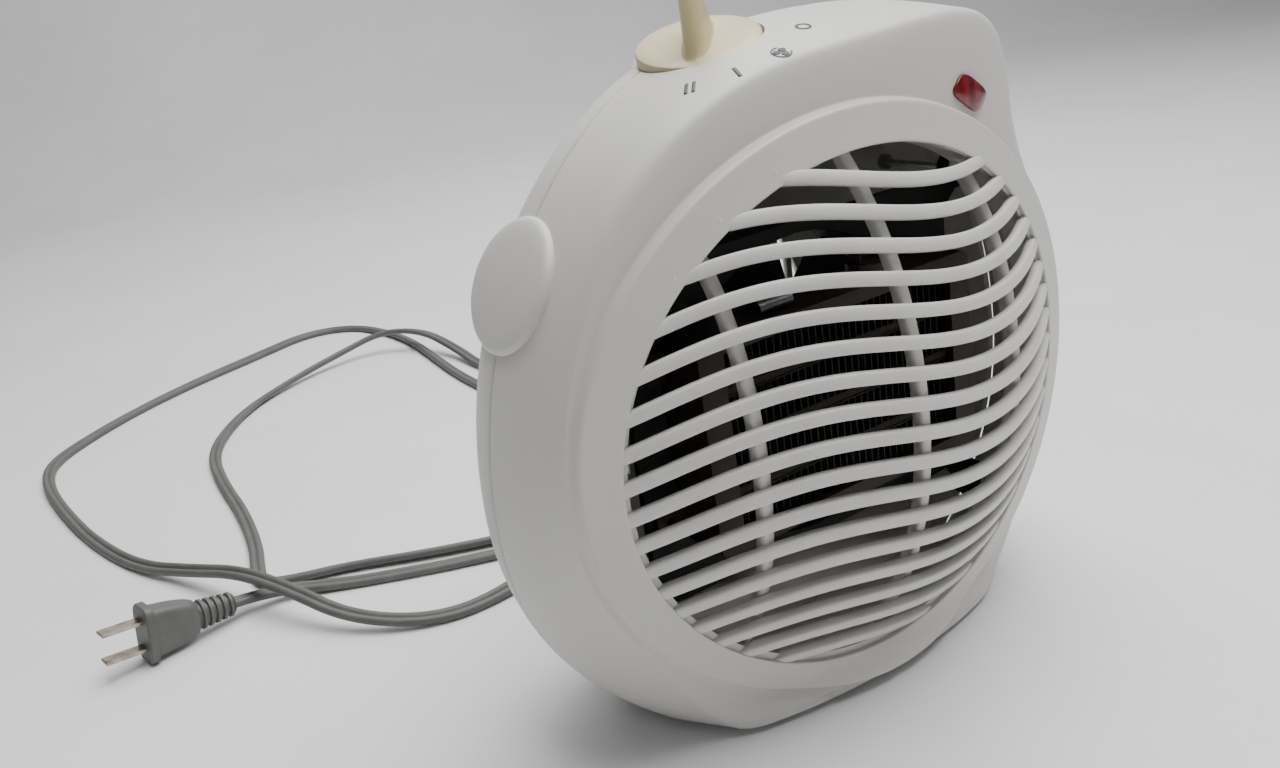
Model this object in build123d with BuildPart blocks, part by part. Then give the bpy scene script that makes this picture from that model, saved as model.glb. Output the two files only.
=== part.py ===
"""Upright ceramic fan heater: a round two-shell housing that stands on a flat base.

Frame: +Z up, the floor at z = 0, -Y towards the person the heater blows at, +X to that
person's right hand side of the grille. The origin is on the floor under the middle of
the body. All sizes are millimetres.
"""
from build123d import *
import math
import os

os.makedirs("parts", exist_ok=True)

# ---------------------------------------------------------------- housing
half_width = 120.0           # outline of the seam between the shells
outline_up = 143.0           # upper semi-axis of that outline
outline_down = 112.0         # lower semi-axis, cut off flat by the base
outline_drop = 16.0          # widest place of the outline below the ring's centre
ring_height = 102.0          # ring centre above the floor
foot_gap = 3.0               # the shells' flat base above the floor
ring_y = -34.75              # plane of the front ring
front_depth = 48.0           # ring plane to the seam
rear_depth = 50.0            # seam to the back face
ring_half_width = 110.0      # outer edge of the raised ring
ring_half_height = 99.0
opening_half_width = 97.5    # outlet opening inside the ring
opening_half_height = 88.5
wall = 2.4
apron_reach = 6.0            # apron's lower edge in front of the ring plane
apron_height = 16.0
head_left = -6.0             # raised right side of the head, about the ring's centre
head_right = 87.0
head_bottom = 70.0
head_top = 127.5
head_corner = 16.0
head_front = 6.0             # front face of the head behind the ring plane
head_front_drop = 5.0        # the head is this much lower and narrower in front
head_back = 34.0             # how far the head runs behind the seam
head_back_drop = 20.0
shell_gap = 0.05             # parting gap between the two shells
fit_gap = 0.15               # clearance of a part that seats in a pocket
running_gap = 0.06           # radial clearance of a shaft in its bush

# ---------------------------------------------------------------- grille
dome_rise = 25.0             # how far the middle of the grille stands before its rim
dome_front = 28.5            # apex of the dome in front of the ring plane
bar_pitch = 10.07
bar_height = 4.6
bar_depth = 4.0
bar_wave = 7.5               # rise of the left half and dip of the right half
bar_count = 17
rib_spacing = 60.0
rib_width = 4.5
rib_depth = 5.0
rim_wall = 2.6
rim_flange = 5.0

# ---------------------------------------------------------------- controls
knob_radius = 20.5
knob_thickness = 4.5
knob_x = -21.6
knob_behind_ring = 42.0
knob_above_ring = 122.0
knob_lean_left = 12.0        # degrees
knob_lean_front = 12.0       # degrees
grip_length = 33.0
grip_width = 9.0
grip_height = 27.0
grip_turn = 43.0             # degrees, the grip's line on the disc at rest
shaft_radius = 3.0
pocket_gap = 0.6             # round gap between the knob and its pocket
pocket_depth = 2.0
cap_radius = 22.0
cap_thickness = 4.0
cap_above_ring = 64.0
cap_proud = 2.0
lens_x = 62.0
lens_above_ring = 93.0
lens_length = 17.0
lens_height = 9.0
lens_depth = 7.0

# ---------------------------------------------------------------- air and heat
element_width = 108.0        # heating block, outside of its fins
element_height = 68.0
element_depth = 13.0
strip_height = 2.4           # ceramic strips between the fin packs
pack_count = 4
fin_wall = 0.6
fin_pitch = 3.0
frame_wall = 3.0
frame_depth = 22.0
element_behind_ring = 12.0
fan_radius = 52.0
fan_tip_gap = 3.0
fan_depth = 14.0
hub_radius = 13.0
blade_count = 7
blade_wall = 1.4
blade_pitch_angle = 32.0
fan_behind_ring = 37.0
duct_wall = 2.0
duct_depth = 26.0
motor_shaft_radius = 1.6
rotor_radius = 11.0
stack_thickness = 14.0
stack_width = 48.0
stack_height = 56.0
stack_gap = 0.5              # air gap between rotor and laminations
bush_radius = 4.5

# ---------------------------------------------------------------- fasteners, feet
screw_radius = 1.5
screw_head_radius = 3.0
screw_length = 30.0
post_radius = 4.5
post_x = 82.0
post_up = 62.0
post_down = 66.0
foot_radius = 6.0
foot_x = 52.0
foot_front_y = -14.0
foot_back_y = 34.0

# ---------------------------------------------------------------- cord and plug
cord_diameter = 7.0
gland_radius = 5.5
gland_length = 22.0
gland_x = -5.0
gland_z = 27.0
plug_turn = 10.0             # degrees, the plug's axis against the X axis
plug_tilt = 8.0              # degrees, the blades' end rises
plug_x = -174.0              # end of the plug's strain relief
plug_y = 201.0
plug_z = 8.0
lead_run = 20.0              # straight lead of the cord ahead of the plug
blade_spacing = 12.7
blade_width = 6.35
blade_length = 17.0
blade_thickness = 1.5
plug_flange_height = 26.0
plug_flange_width = 16.0
plug_flange_length = 4.0
plug_body_length = 20.0
plug_relief_length = 17.0
plug_relief_radius = 4.7

# ---------------------------------------------------------------- worked out
seam_y = ring_y + front_depth
rear_y = seam_y + rear_depth
outline_z = ring_height - outline_drop
ring_z = ring_height + 2.0
opening_z = ring_z
base_z = foot_gap


def outline(plane, half, up, down, centre_z):
    """Closed egg outline made of two half ellipses that share their width."""
    with BuildSketch(plane) as sketch:
        with BuildLine():
            EllipticalCenterArc((0, centre_z), half, up, start_angle=0, arc_size=180)
            EllipticalCenterArc((0, centre_z), half, down, start_angle=180, arc_size=180)
        make_face()
    return sketch.sketch


def xz(y):
    """Upright plane at depth y whose own axes are X and Z."""
    return Plane.XZ.offset(-y)


def head_form(inset, first, second):
    """Raised right side of the head between two (depth, drop) stations, pulled in by inset."""
    with BuildPart() as form:
        for y, drop in (first, second):
            width = head_right - head_left - drop - 2 * inset
            height = head_top - head_bottom - drop - 2 * inset
            with BuildSketch(xz(y)):
                with Locations((head_left + inset + width / 2,
                                ring_height + head_bottom + inset + height / 2)):
                    RectangleRounded(width, height, head_corner - inset)
        loft(ruled=True)
    return form.part


def front_form(inset, start_y):
    """Solid form of the front shell, pulled in by inset, as a private part."""
    with BuildPart() as form:
        add(outline(xz(start_y), ring_half_width - inset, ring_half_height - inset,
                    ring_half_height - inset, ring_z))
        add(outline(xz(ring_y + 8), half_width - 3.5 - inset, outline_up - 13 - inset,
                    outline_down - 5 - inset, outline_z + 3))
        add(outline(xz(seam_y - shell_gap / 2), half_width - inset, outline_up - inset,
                    outline_down - inset, outline_z))
        loft(ruled=True)
        add(head_form(inset, (ring_y + head_front + inset, head_front_drop),
                      (seam_y - shell_gap / 2, 0)))
    return form.part


def rear_form(inset, end_y):
    """Solid form of the rear shell, a dome with a flat back, pulled in by inset."""
    with BuildPart() as form:
        add(outline(xz(seam_y + shell_gap / 2), half_width - inset, outline_up - inset,
                    outline_down - inset, outline_z))
        for share in (0.45, 0.8):
            shrink = (1 - share ** 2.6) ** (1 / 2.6)
            add(outline(xz(seam_y + share * rear_depth), half_width * shrink - inset,
                        outline_up * shrink - inset, outline_down * shrink - inset, outline_z))
        add(outline(xz(end_y), half_width * 0.6 - inset, outline_up * 0.6 - inset,
                    outline_down * 0.6 - inset, outline_z))
        loft(ruled=True)
        add(head_form(inset, (seam_y + shell_gap / 2, 0),
                      (seam_y + head_back - inset, head_back_drop)))
    return form.part


def keep_above(height):
    """Large private block above a height, for trimming a form flat."""
    block = Box(600, 600, 400, align=(Align.CENTER, Align.CENTER, Align.MIN))
    return block.moved(Location((0, 0, height)))


def leaning_normal():
    """Axis of the function knob: up, leaning to the left and to the front."""
    left = -math.sin(math.radians(knob_lean_left))
    front = -math.sin(math.radians(knob_lean_front))
    return Vector(left, front, math.sqrt(1 - left * left - front * front))


knob_centre = Vector(knob_x, ring_y + knob_behind_ring, ring_height + knob_above_ring)
knob_plane = Plane(origin=knob_centre, x_dir=(1, 0, 0.3), z_dir=leaning_normal())


def knob_level(height):
    """Plane square to the knob's axis, height above the pocket's rim."""
    return knob_plane.offset(height)


cap_rise = (cap_above_ring + outline_drop) / outline_up
cap_x = half_width * math.sqrt(1 - cap_rise ** 2)
cap_tilt = math.atan2(cap_rise / outline_up, cap_x / half_width ** 2)


def cap_plane(side, height):
    """Plane on the outline, square to it, on the left (-1) or right (+1) side."""
    normal = Vector(side * math.cos(cap_tilt), 0, math.sin(cap_tilt))
    spot = Vector(side * cap_x, seam_y, ring_height + cap_above_ring)
    return Plane(origin=spot + normal * height, x_dir=(0, 1, 0), z_dir=normal)


lens_normal = Vector(0.35, -0.62, 0.7)
lens_spot = Vector(lens_x, ring_y + 6.0, ring_height + lens_above_ring)
lens_plane = Plane(origin=lens_spot, x_dir=(0.8, 0.05, -0.55), z_dir=lens_normal)


def strut(start, end, width):
    """Flat bar between two points of the sketch that is being drawn."""
    run = (end[0] - start[0], end[1] - start[1])
    with Locations(((start[0] + end[0]) / 2, (start[1] + end[1]) / 2)):
        Rectangle(math.hypot(*run), width, rotation=math.degrees(math.atan2(run[1], run[0])))


def save(part, name):
    part.label = name
    export_step(part, f"parts/{name}.step")


post_places = [(-post_x, ring_height + post_up), (post_x, ring_height + post_up),
               (-post_x, ring_height - post_down), (post_x, ring_height - post_down)]

# ================================================================ front shell
front_solid = front_form(0, ring_y) & keep_above(base_z)
front_hollow = front_form(wall, ring_y + wall) & keep_above(base_z + wall)

with BuildPart() as front_shell:
    add(front_solid)
    add(front_hollow, mode=Mode.SUBTRACT)
    # posts that take the case screws
    with BuildSketch(xz(seam_y - shell_gap / 2)):
        with Locations(*post_places):
            Circle(post_radius)
    extrude(amount=front_depth, mode=Mode.ADD)
    add(front_solid, mode=Mode.INTERSECT)
    # boss under the knob and seats under the side caps
    with BuildSketch(knob_level(-6.5)):
        Circle(knob_radius + 3)
    extrude(amount=14, mode=Mode.ADD)
    for side in (-1, 1):
        with BuildSketch(cap_plane(side, -7)):
            Circle(cap_radius + 2.5)
        extrude(amount=12, mode=Mode.ADD)
    add(front_solid, mode=Mode.INTERSECT)
    # apron that carries the ring down to the base
    with BuildSketch(Plane.XY.offset(base_z)):
        with BuildLine():
            ThreePointArc((-66, ring_y + 14), (0, ring_y - apron_reach), (66, ring_y + 14))
            Line((66, ring_y + 14), (-66, ring_y + 14))
        make_face()
    extrude(amount=apron_height, taper=14)
    with BuildSketch(xz(ring_y + front_depth)):
        with Locations((0, opening_z)):
            Ellipse(opening_half_width, opening_half_height)
    extrude(amount=front_depth + 30, mode=Mode.SUBTRACT)
    with BuildSketch(xz(seam_y - shell_gap / 2)):
        with Locations(*post_places):
            Circle(screw_radius * 0.8)
    extrude(amount=20, mode=Mode.SUBTRACT)
    with BuildSketch(knob_level(-pocket_depth)):
        Circle(knob_radius + pocket_gap)
    extrude(amount=12, mode=Mode.SUBTRACT)
    with BuildSketch(knob_level(-9)):
        Circle(shaft_radius + 1.0)
    extrude(amount=12, mode=Mode.SUBTRACT)
    for side in (-1, 1):
        with BuildSketch(cap_plane(side, cap_proud - cap_thickness - fit_gap)):
            Circle(cap_radius + fit_gap)
        extrude(amount=12, mode=Mode.SUBTRACT)
        with BuildSketch(cap_plane(side, -12)):
            Circle(cap_radius - 8)
        extrude(amount=20, mode=Mode.SUBTRACT)
    with BuildSketch(lens_plane.offset(-16)):
        SlotOverall(lens_length + 2 * fit_gap, lens_height + 2 * fit_gap)
    extrude(amount=30, mode=Mode.SUBTRACT)
save(front_shell.part, "front_shell")

# ================================================================ rear shell
rear_solid = rear_form(0, rear_y) & keep_above(base_z)
rear_hollow = rear_form(wall, rear_y - wall) & keep_above(base_z + wall)
intake_radius = 58.0
intake_slot = 3.2
intake_pitch = 6.4
intake_z = ring_height + 4.0
head_seat = 6.0              # screw heads sit this deep in their rear posts

with BuildPart() as rear_shell:
    add(rear_solid)
    add(rear_hollow, mode=Mode.SUBTRACT)
    with BuildSketch(xz(seam_y + shell_gap / 2)):
        with Locations(*post_places):
            Circle(post_radius)
    extrude(amount=-rear_depth, mode=Mode.ADD)
    add(rear_solid, mode=Mode.INTERSECT)
    with BuildSketch(knob_level(-6.5)):
        Circle(knob_radius + 3)
    extrude(amount=14, mode=Mode.ADD)
    for side in (-1, 1):
        with BuildSketch(cap_plane(side, -7)):
            Circle(cap_radius + 2.5)
        extrude(amount=12, mode=Mode.ADD)
    # boss that holds the cord's gland
    with BuildSketch(xz(rear_y - 12)):
        with Locations((gland_x, gland_z)):
            Circle(gland_radius + 4)
    extrude(amount=-12, mode=Mode.ADD)
    add(rear_solid, mode=Mode.INTERSECT)
    with BuildSketch(xz(rear_y)):
        with Locations((0, intake_z)):
            Circle(intake_radius)
        with Locations((0, intake_z)):
            with GridLocations(intake_pitch, 1, 19, 1):
                Rectangle(intake_pitch - intake_slot, 4 * intake_radius, mode=Mode.SUBTRACT)
        with Locations((0, intake_z)):
            Rectangle(2 * intake_radius + 4, 5, mode=Mode.SUBTRACT)
    extrude(amount=wall * 2, both=True, mode=Mode.SUBTRACT)
    with BuildSketch(xz(seam_y)):
        with Locations(*post_places):
            Circle(screw_radius + 0.3)
    extrude(amount=-60, mode=Mode.SUBTRACT)
    with BuildSketch(xz(seam_y + screw_length - 12)):
        with Locations(*post_places):
            Circle(screw_head_radius + 0.4)
    extrude(amount=-60, mode=Mode.SUBTRACT)
    with BuildSketch(knob_level(-pocket_depth)):
        Circle(knob_radius + pocket_gap)
    extrude(amount=12, mode=Mode.SUBTRACT)
    for side in (-1, 1):
        with BuildSketch(cap_plane(side, cap_proud - cap_thickness - fit_gap)):
            Circle(cap_radius + fit_gap)
        extrude(amount=12, mode=Mode.SUBTRACT)
        with BuildSketch(cap_plane(side, -12)):
            Circle(cap_radius - 8)
        extrude(amount=20, mode=Mode.SUBTRACT)
    with BuildSketch(xz(rear_y - 20)):
        with Locations((gland_x, gland_z)):
            Circle(gland_radius + fit_gap)
    extrude(amount=-30, mode=Mode.SUBTRACT)
save(rear_shell.part, "rear_shell")

# ================================================================ front grille
dome_radius = (opening_half_width ** 2 + dome_rise ** 2) / (2 * dome_rise)
dome_centre = Vector(0, ring_y - dome_front + dome_radius, ring_z)


def dome_ball(sink):
    """Solid ball whose front is the dome, sunk below the bars' faces."""
    ball = Sphere(dome_radius - sink, mode=Mode.PRIVATE)
    return ball.moved(Location(dome_centre))


with BuildPart() as front_grille:
    with BuildSketch(xz(ring_y + 6)):
        for bar in range(bar_count):
            z = opening_z + (bar_count // 2 - bar) * bar_pitch
            half = opening_half_width
            top = z + bar_height / 2
            low = z - bar_height / 2
            with BuildLine():
                ThreePointArc((-half, top), (-half / 2, top + bar_wave), (0, top))
                ThreePointArc((0, top), (half / 2, top - bar_wave), (half, top))
                Line((half, top), (half, low))
                ThreePointArc((half, low), (half / 2, low - bar_wave), (0, low))
                ThreePointArc((0, low), (-half / 2, low + bar_wave), (-half, low))
                Line((-half, low), (-half, top))
            make_face()
    extrude(amount=dome_front + 10)
    add(dome_ball(0), mode=Mode.INTERSECT)
    add(dome_ball(bar_depth), mode=Mode.SUBTRACT)
    with BuildSketch(xz(ring_y + 6)):
        with Locations((0, opening_z)):
            Ellipse(opening_half_width - fit_gap - 0.5, opening_half_height - fit_gap - 0.5)
    extrude(amount=dome_front + 10, mode=Mode.INTERSECT)
with BuildPart() as rib_set:
    with BuildSketch(xz(ring_y + 6)):
        with Locations((0, opening_z)):
            with GridLocations(rib_spacing, 1, 3, 1):
                Rectangle(rib_width, 2 * opening_half_height)
    extrude(amount=dome_front + 10)
    add(dome_ball(bar_depth - 0.5), mode=Mode.INTERSECT)
    add(dome_ball(bar_depth + rib_depth), mode=Mode.SUBTRACT)
    with BuildSketch(xz(ring_y + 6)):
        with Locations((0, opening_z)):
            Ellipse(opening_half_width - 2, opening_half_height - 2)
    extrude(amount=dome_front + 10, mode=Mode.INTERSECT)
with BuildPart() as rim:
    with BuildSketch(xz(ring_y + 6)):
        with Locations((0, opening_z)):
            Ellipse(opening_half_width - fit_gap, opening_half_height - fit_gap)
            Ellipse(opening_half_width - rim_wall, opening_half_height - rim_wall, mode=Mode.SUBTRACT)
    extrude(amount=dome_front)
    add(dome_ball(0), mode=Mode.INTERSECT)
    with BuildSketch(xz(ring_y + 6)):
        with Locations((0, opening_z)):
            Ellipse(opening_half_width + rim_flange, opening_half_height + rim_flange)
            Ellipse(opening_half_width - rim_wall, opening_half_height - rim_wall, mode=Mode.SUBTRACT)
        # the flange is left out where the apron stands
        with Locations((0, base_z)):
            Rectangle(2 * half_width, 2 * (apron_height + 1), mode=Mode.SUBTRACT)
        with Locations(*post_places):
            Circle(post_radius + fit_gap, mode=Mode.SUBTRACT)
    extrude(amount=3)
with front_grille:
    add(rib_set.part)
    add(rim.part)
save(front_grille.part, "front_grille")

# ================================================================ knob and switch
knob_lift = fit_gap + 0.15   # the disc turns just clear of its pocket's floor
switch_size = 26.0
switch_depth = 16.0

with BuildPart() as function_knob:
    with BuildSketch(knob_level(-pocket_depth + knob_lift)):
        Circle(knob_radius)
    extrude(amount=knob_thickness)
    fillet(function_knob.faces().sort_by(Axis.Z)[-1].edges(), 1.2)
    # bat grip across the disc, pointing to the front left mark at rest
    with BuildSketch(knob_level(-pocket_depth + knob_lift + knob_thickness - 1)):
        SlotOverall(grip_length, grip_width, rotation=grip_turn)
    extrude(amount=grip_height, taper=5)
    # socket for the flat of the switch shaft
    with BuildSketch(knob_level(-pocket_depth + knob_lift)):
        Circle(shaft_radius + 0.02)
    extrude(amount=3, mode=Mode.SUBTRACT)
save(function_knob.part, "function_knob")

with BuildPart() as switch_shaft:
    with BuildSketch(knob_level(-12)):
        Circle(shaft_radius)
    extrude(amount=12 - pocket_depth + knob_lift + 2.95)
save(switch_shaft.part, "switch_shaft")

with BuildPart() as switch_body:
    with BuildSketch(knob_level(-6.7 - 4)):
        Circle(shaft_radius + 2.2)
    extrude(amount=4)
    with BuildSketch(knob_level(-6.7 - 4)):
        RectangleRounded(switch_size, switch_size, 2)
    extrude(amount=-switch_depth)
    with BuildSketch(knob_level(-12.3)):
        Circle(shaft_radius + running_gap)
    extrude(amount=10, mode=Mode.SUBTRACT)
save(switch_body.part, "switch_body")

with BuildPart() as switch_tabs:
    with BuildSketch(knob_level(-6.7 - 4 - switch_depth)):
        with GridLocations(7, 12, 3, 2):
            Rectangle(0.8, 6.3)
    extrude(amount=-7)
save(switch_tabs.part, "switch_tabs")

# ================================================================ side caps
for side, cap_name in ((-1, "side_cap_left"), (1, "side_cap_right")):
    with BuildPart() as side_cap:
        with BuildSketch(cap_plane(side, cap_proud - cap_thickness)):
            Circle(cap_radius)
        extrude(amount=cap_thickness)
        fillet(side_cap.edges().filter_by(GeomType.CIRCLE).sort_by(Axis.Z)[-1:], 0.8)
        with BuildSketch(cap_plane(side, cap_proud - cap_thickness)):
            Circle(cap_radius - 8 - fit_gap)
        extrude(amount=-4)
    save(side_cap.part, cap_name)

# ================================================================ lamp
with BuildPart() as indicator_lens:
    with BuildSketch(lens_plane.offset(-lens_depth)):
        SlotOverall(lens_length, lens_height)
    extrude(amount=lens_depth + 5.5)
save(indicator_lens.part, "indicator_lens")

with BuildPart() as neon_lamp:
    with BuildSketch(lens_plane.offset(-lens_depth - 9)):
        Circle(2.5)
    extrude(amount=8.5)
save(neon_lamp.part, "neon_lamp")

# ================================================================ heating element
element_y = ring_y + element_behind_ring
pack_height = (element_height - (pack_count - 1) * strip_height) / pack_count
pack_pitch = pack_height + strip_height
fins_per_pack = int((element_width - 4 * fin_wall) / fin_pitch)

with BuildPart() as fin_packs:
    with BuildSketch(xz(element_y)):
        for pack in range(pack_count):
            level = ring_z + (pack - (pack_count - 1) / 2) * pack_pitch
            with Locations((0, level)):
                Rectangle(element_width, pack_height)
                with GridLocations(fin_pitch, 1, fins_per_pack, 1):
                    Rectangle(fin_pitch - fin_wall, pack_height - 2 * fin_wall, mode=Mode.SUBTRACT)
    extrude(amount=-element_depth)
save(fin_packs.part, "fin_packs")

with BuildPart() as ceramic_strips:
    with BuildSketch(xz(element_y + 0.5)):
        with Locations((0, ring_z)):
            with GridLocations(1, pack_pitch, 1, pack_count - 1):
                Rectangle(element_width - 2, strip_height)
    extrude(amount=-element_depth + 1)
save(ceramic_strips.part, "ceramic_strips")

frame_front = element_y - 3
with BuildPart() as element_frame:
    with BuildSketch(xz(frame_front)):
        with Locations((0, ring_z)):
            RectangleRounded(element_width + 2 * frame_wall + 8, element_height + 2 * frame_wall, 4)
            Rectangle(element_width + 2 * fit_gap, element_height + 2 * fit_gap, mode=Mode.SUBTRACT)
    extrude(amount=-frame_depth)
    # lips in front that hold the block in
    with BuildSketch(xz(frame_front)):
        with Locations((0, ring_z)):
            Rectangle(element_width + 4, element_height + 2)
            Rectangle(element_width - 6, element_height - 4, mode=Mode.SUBTRACT)
    extrude(amount=-(3 - fit_gap))
    # ears that carry the frame on the fan duct
    ear_y = frame_front + frame_depth - 3
    with BuildSketch(xz(ear_y)):
        with Locations((0, ring_z)):
            with GridLocations(element_width + 20, element_height - 14, 2, 2):
                RectangleRounded(16, 10, 2)
            with GridLocations(element_width + 26, element_height - 14, 2, 2):
                Circle(1.7, mode=Mode.SUBTRACT)
            Rectangle(element_width + 4, element_height + 2, mode=Mode.SUBTRACT)
    extrude(amount=-3)
save(element_frame.part, "element_frame")

# ================================================================ fan duct
duct_y = frame_front + frame_depth + fit_gap
duct_inner = fan_radius + fan_tip_gap
arm_y = duct_y + duct_depth
motor_bolt_places = ((-19, 14), (19, 14))
with BuildPart() as fan_duct:
    with BuildSketch(xz(duct_y)):
        with Locations((0, ring_z)):
            RectangleRounded(element_width + 40, 2 * duct_inner + 8, 10)
            Circle(duct_inner, mode=Mode.SUBTRACT)
            with GridLocations(element_width + 26, element_height - 14, 2, 2):
                Circle(1.3, mode=Mode.SUBTRACT)
    extrude(amount=-3)
    with BuildSketch(xz(duct_y)):
        with Locations((0, ring_z)):
            Circle(duct_inner + duct_wall)
            Circle(duct_inner, mode=Mode.SUBTRACT)
    extrude(amount=-duct_depth)
    # spider that carries the motor
    with BuildSketch(xz(arm_y - 4)):
        with Locations((0, ring_z)):
            Circle(27)
            for turn in (45, 135):
                Rectangle(2 * duct_inner + 2, 9, rotation=turn)
            Circle(bush_radius + 1.5, mode=Mode.SUBTRACT)
            with Locations(*motor_bolt_places):
                Circle(1.7, mode=Mode.SUBTRACT)
    extrude(amount=-4)
    # struts from the plate to the four case posts, which pass through their ears
    with BuildSketch(xz(duct_y)):
        for place in post_places:
            with Locations(place):
                Circle(post_radius + 3)
            corner = (math.copysign(element_width / 2 + 10, place[0]),
                      ring_z + math.copysign(duct_inner - 12, place[1] - ring_z))
            strut(corner, place, 9)
        with Locations(*post_places):
            Circle(post_radius + fit_gap, mode=Mode.SUBTRACT)
    extrude(amount=-3)
save(fan_duct.part, "fan_duct")

# ================================================================ motor and fan
fan_y = ring_y + fan_behind_ring
stack_y = arm_y + 9.0
bush_length = 7.0
front_bush_y = arm_y - 5.0
rear_plate_y = stack_y + stack_thickness + 8.0

with BuildPart() as fan_impeller:
    with BuildSketch(xz(fan_y)):
        with Locations((0, ring_z)):
            Circle(hub_radius)
    extrude(amount=-fan_depth)
    fillet(fan_impeller.faces().sort_by(Axis.Y)[0].edges(), 3)
    # pitched blades on radial planes around the hub
    for blade in range(blade_count):
        turn = 360 / blade_count * blade
        ray = Vector(math.cos(math.radians(turn)), 0, math.sin(math.radians(turn)))
        along = Vector(-ray.Z, 0, ray.X)
        lean = math.radians(blade_pitch_angle)
        chord = along * math.cos(lean) + Vector(0, math.sin(lean), 0)
        root = Vector(0, fan_y + fan_depth / 2, ring_z) + ray * (hub_radius - 2)
        with BuildSketch(Plane(origin=root, x_dir=chord, z_dir=ray)):
            Rectangle(20, blade_wall)
        extrude(amount=8)
        tip_root = root + ray * 7
        with BuildSketch(Plane(origin=tip_root, x_dir=chord, z_dir=ray)):
            Rectangle(22, blade_wall)
        extrude(amount=fan_radius - hub_radius - 7)
    with BuildSketch(xz(fan_y - 2)):
        with Locations((0, ring_z)):
            Circle(fan_radius)
    extrude(amount=-(fan_depth + 4), mode=Mode.INTERSECT)
    with BuildSketch(xz(fan_y + 2)):
        with Locations((0, ring_z)):
            Circle(motor_shaft_radius)
    extrude(amount=-fan_depth, mode=Mode.SUBTRACT)
save(fan_impeller.part, "fan_impeller")

with BuildPart() as motor_shaft:
    with BuildSketch(xz(fan_y + 2)):
        with Locations((0, ring_z)):
            Circle(motor_shaft_radius)
    extrude(amount=-(rear_plate_y + 5 - fan_y - 2))
save(motor_shaft.part, "motor_shaft")

with BuildPart() as motor_rotor:
    with BuildSketch(xz(stack_y)):
        with Locations((0, ring_z)):
            Circle(rotor_radius)
            Circle(motor_shaft_radius, mode=Mode.SUBTRACT)
    extrude(amount=-stack_thickness)
save(motor_rotor.part, "motor_rotor")

with BuildPart() as motor_stack:
    with BuildSketch(xz(stack_y)):
        with Locations((0, ring_z - 8)):
            RectangleRounded(stack_width, stack_height, 3)
        with Locations((0, ring_z)):
            Circle(rotor_radius + stack_gap, mode=Mode.SUBTRACT)
        with Locations((-13, ring_z - 22), (13, ring_z - 22)):
            Rectangle(14, 16, mode=Mode.SUBTRACT)
        with Locations((-19, ring_z + 14), (19, ring_z + 14)):
            Circle(1.7, mode=Mode.SUBTRACT)
    extrude(amount=-stack_thickness)
save(motor_stack.part, "motor_stack")

with BuildPart() as motor_coil:
    with BuildSketch(Plane.XY.offset(ring_z - 29.5)):
        with Locations((0, stack_y + stack_thickness / 2)):
            RectangleRounded(25, stack_thickness + 13, 3)
            Rectangle(12.4, stack_thickness + 0.4, mode=Mode.SUBTRACT)
    extrude(amount=15)
save(motor_coil.part, "motor_coil")

for bush_name, bush_y in (("front_bush", front_bush_y), ("rear_bush", rear_plate_y - 2.5)):
    with BuildPart() as bush:
        with BuildSketch(xz(bush_y)):
            with Locations((0, ring_z)):
                Circle(bush_radius)
                Circle(motor_shaft_radius + running_gap, mode=Mode.SUBTRACT)
        extrude(amount=-bush_length)
    save(bush.part, bush_name)

with BuildPart() as front_bearing_plate:
    with BuildSketch(xz(arm_y)):
        with Locations((0, ring_z)):
            RectangleRounded(48, 16, 4)
            Rectangle(16, 40)
            Circle(bush_radius, mode=Mode.SUBTRACT)
    extrude(amount=-1.5)
    with BuildSketch(xz(arm_y)):
        with Locations((-19, ring_z + 14), (19, ring_z + 14)):
            Circle(4)
            Circle(1.7, mode=Mode.SUBTRACT)
        strut((-19, ring_z + 10.5), (-19, ring_z + 4), 7)
        strut((19, ring_z + 10.5), (19, ring_z + 4), 7)
    extrude(amount=-1.5)
save(front_bearing_plate.part, "front_bearing_plate")

with BuildPart() as rear_bearing_plate:
    with BuildSketch(xz(rear_plate_y)):
        with Locations((0, ring_z)):
            Circle(10)
            strut((-19, 14), (0, 0), 8)
            strut((19, 14), (0, 0), 8)
            with Locations((-19, 14), (19, 14)):
                Circle(4)
                Circle(1.7, mode=Mode.SUBTRACT)
            Circle(bush_radius, mode=Mode.SUBTRACT)
    extrude(amount=-1.5)
save(rear_bearing_plate.part, "rear_bearing_plate")

with BuildPart() as motor_spacers:
    with BuildSketch(xz(stack_y + stack_thickness)):
        with Locations((-19, ring_z + 14), (19, ring_z + 14)):
            Circle(3)
            Circle(1.7, mode=Mode.SUBTRACT)
    extrude(amount=-(rear_plate_y - stack_y - stack_thickness))
    with BuildSketch(xz(arm_y + 1.5)):
        with Locations((-19, ring_z + 14), (19, ring_z + 14)):
            Circle(3)
            Circle(1.7, mode=Mode.SUBTRACT)
    extrude(amount=-(stack_y - arm_y - 1.5))
save(motor_spacers.part, "motor_spacers")

with BuildPart() as motor_screws:
    with BuildSketch(xz(arm_y - 4 - 2.4)):
        with Locations((-19, ring_z + 14), (19, ring_z + 14)):
            Circle(3)
    extrude(amount=-2.4)
    with BuildSketch(xz(arm_y - 4.01)):
        with Locations((-19, ring_z + 14), (19, ring_z + 14)):
            Circle(1.5)
    extrude(amount=-(rear_plate_y + 8 - arm_y))
save(motor_screws.part, "motor_screws")

# ================================================================ safety parts
with BuildPart() as thermal_cutout:
    with BuildSketch(Plane(origin=(18, element_y + 4, ring_z + element_height / 2 + frame_wall), z_dir=(0, 0, 1))):
        Circle(7)
    extrude(amount=6)
    with BuildSketch(Plane(origin=(18, element_y + 4, ring_z + element_height / 2 + frame_wall + 6), z_dir=(0, 0, 1))):
        with GridLocations(9, 1, 2, 1):
            Rectangle(0.8, 5)
    extrude(amount=7)
save(thermal_cutout.part, "thermal_cutout")

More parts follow.
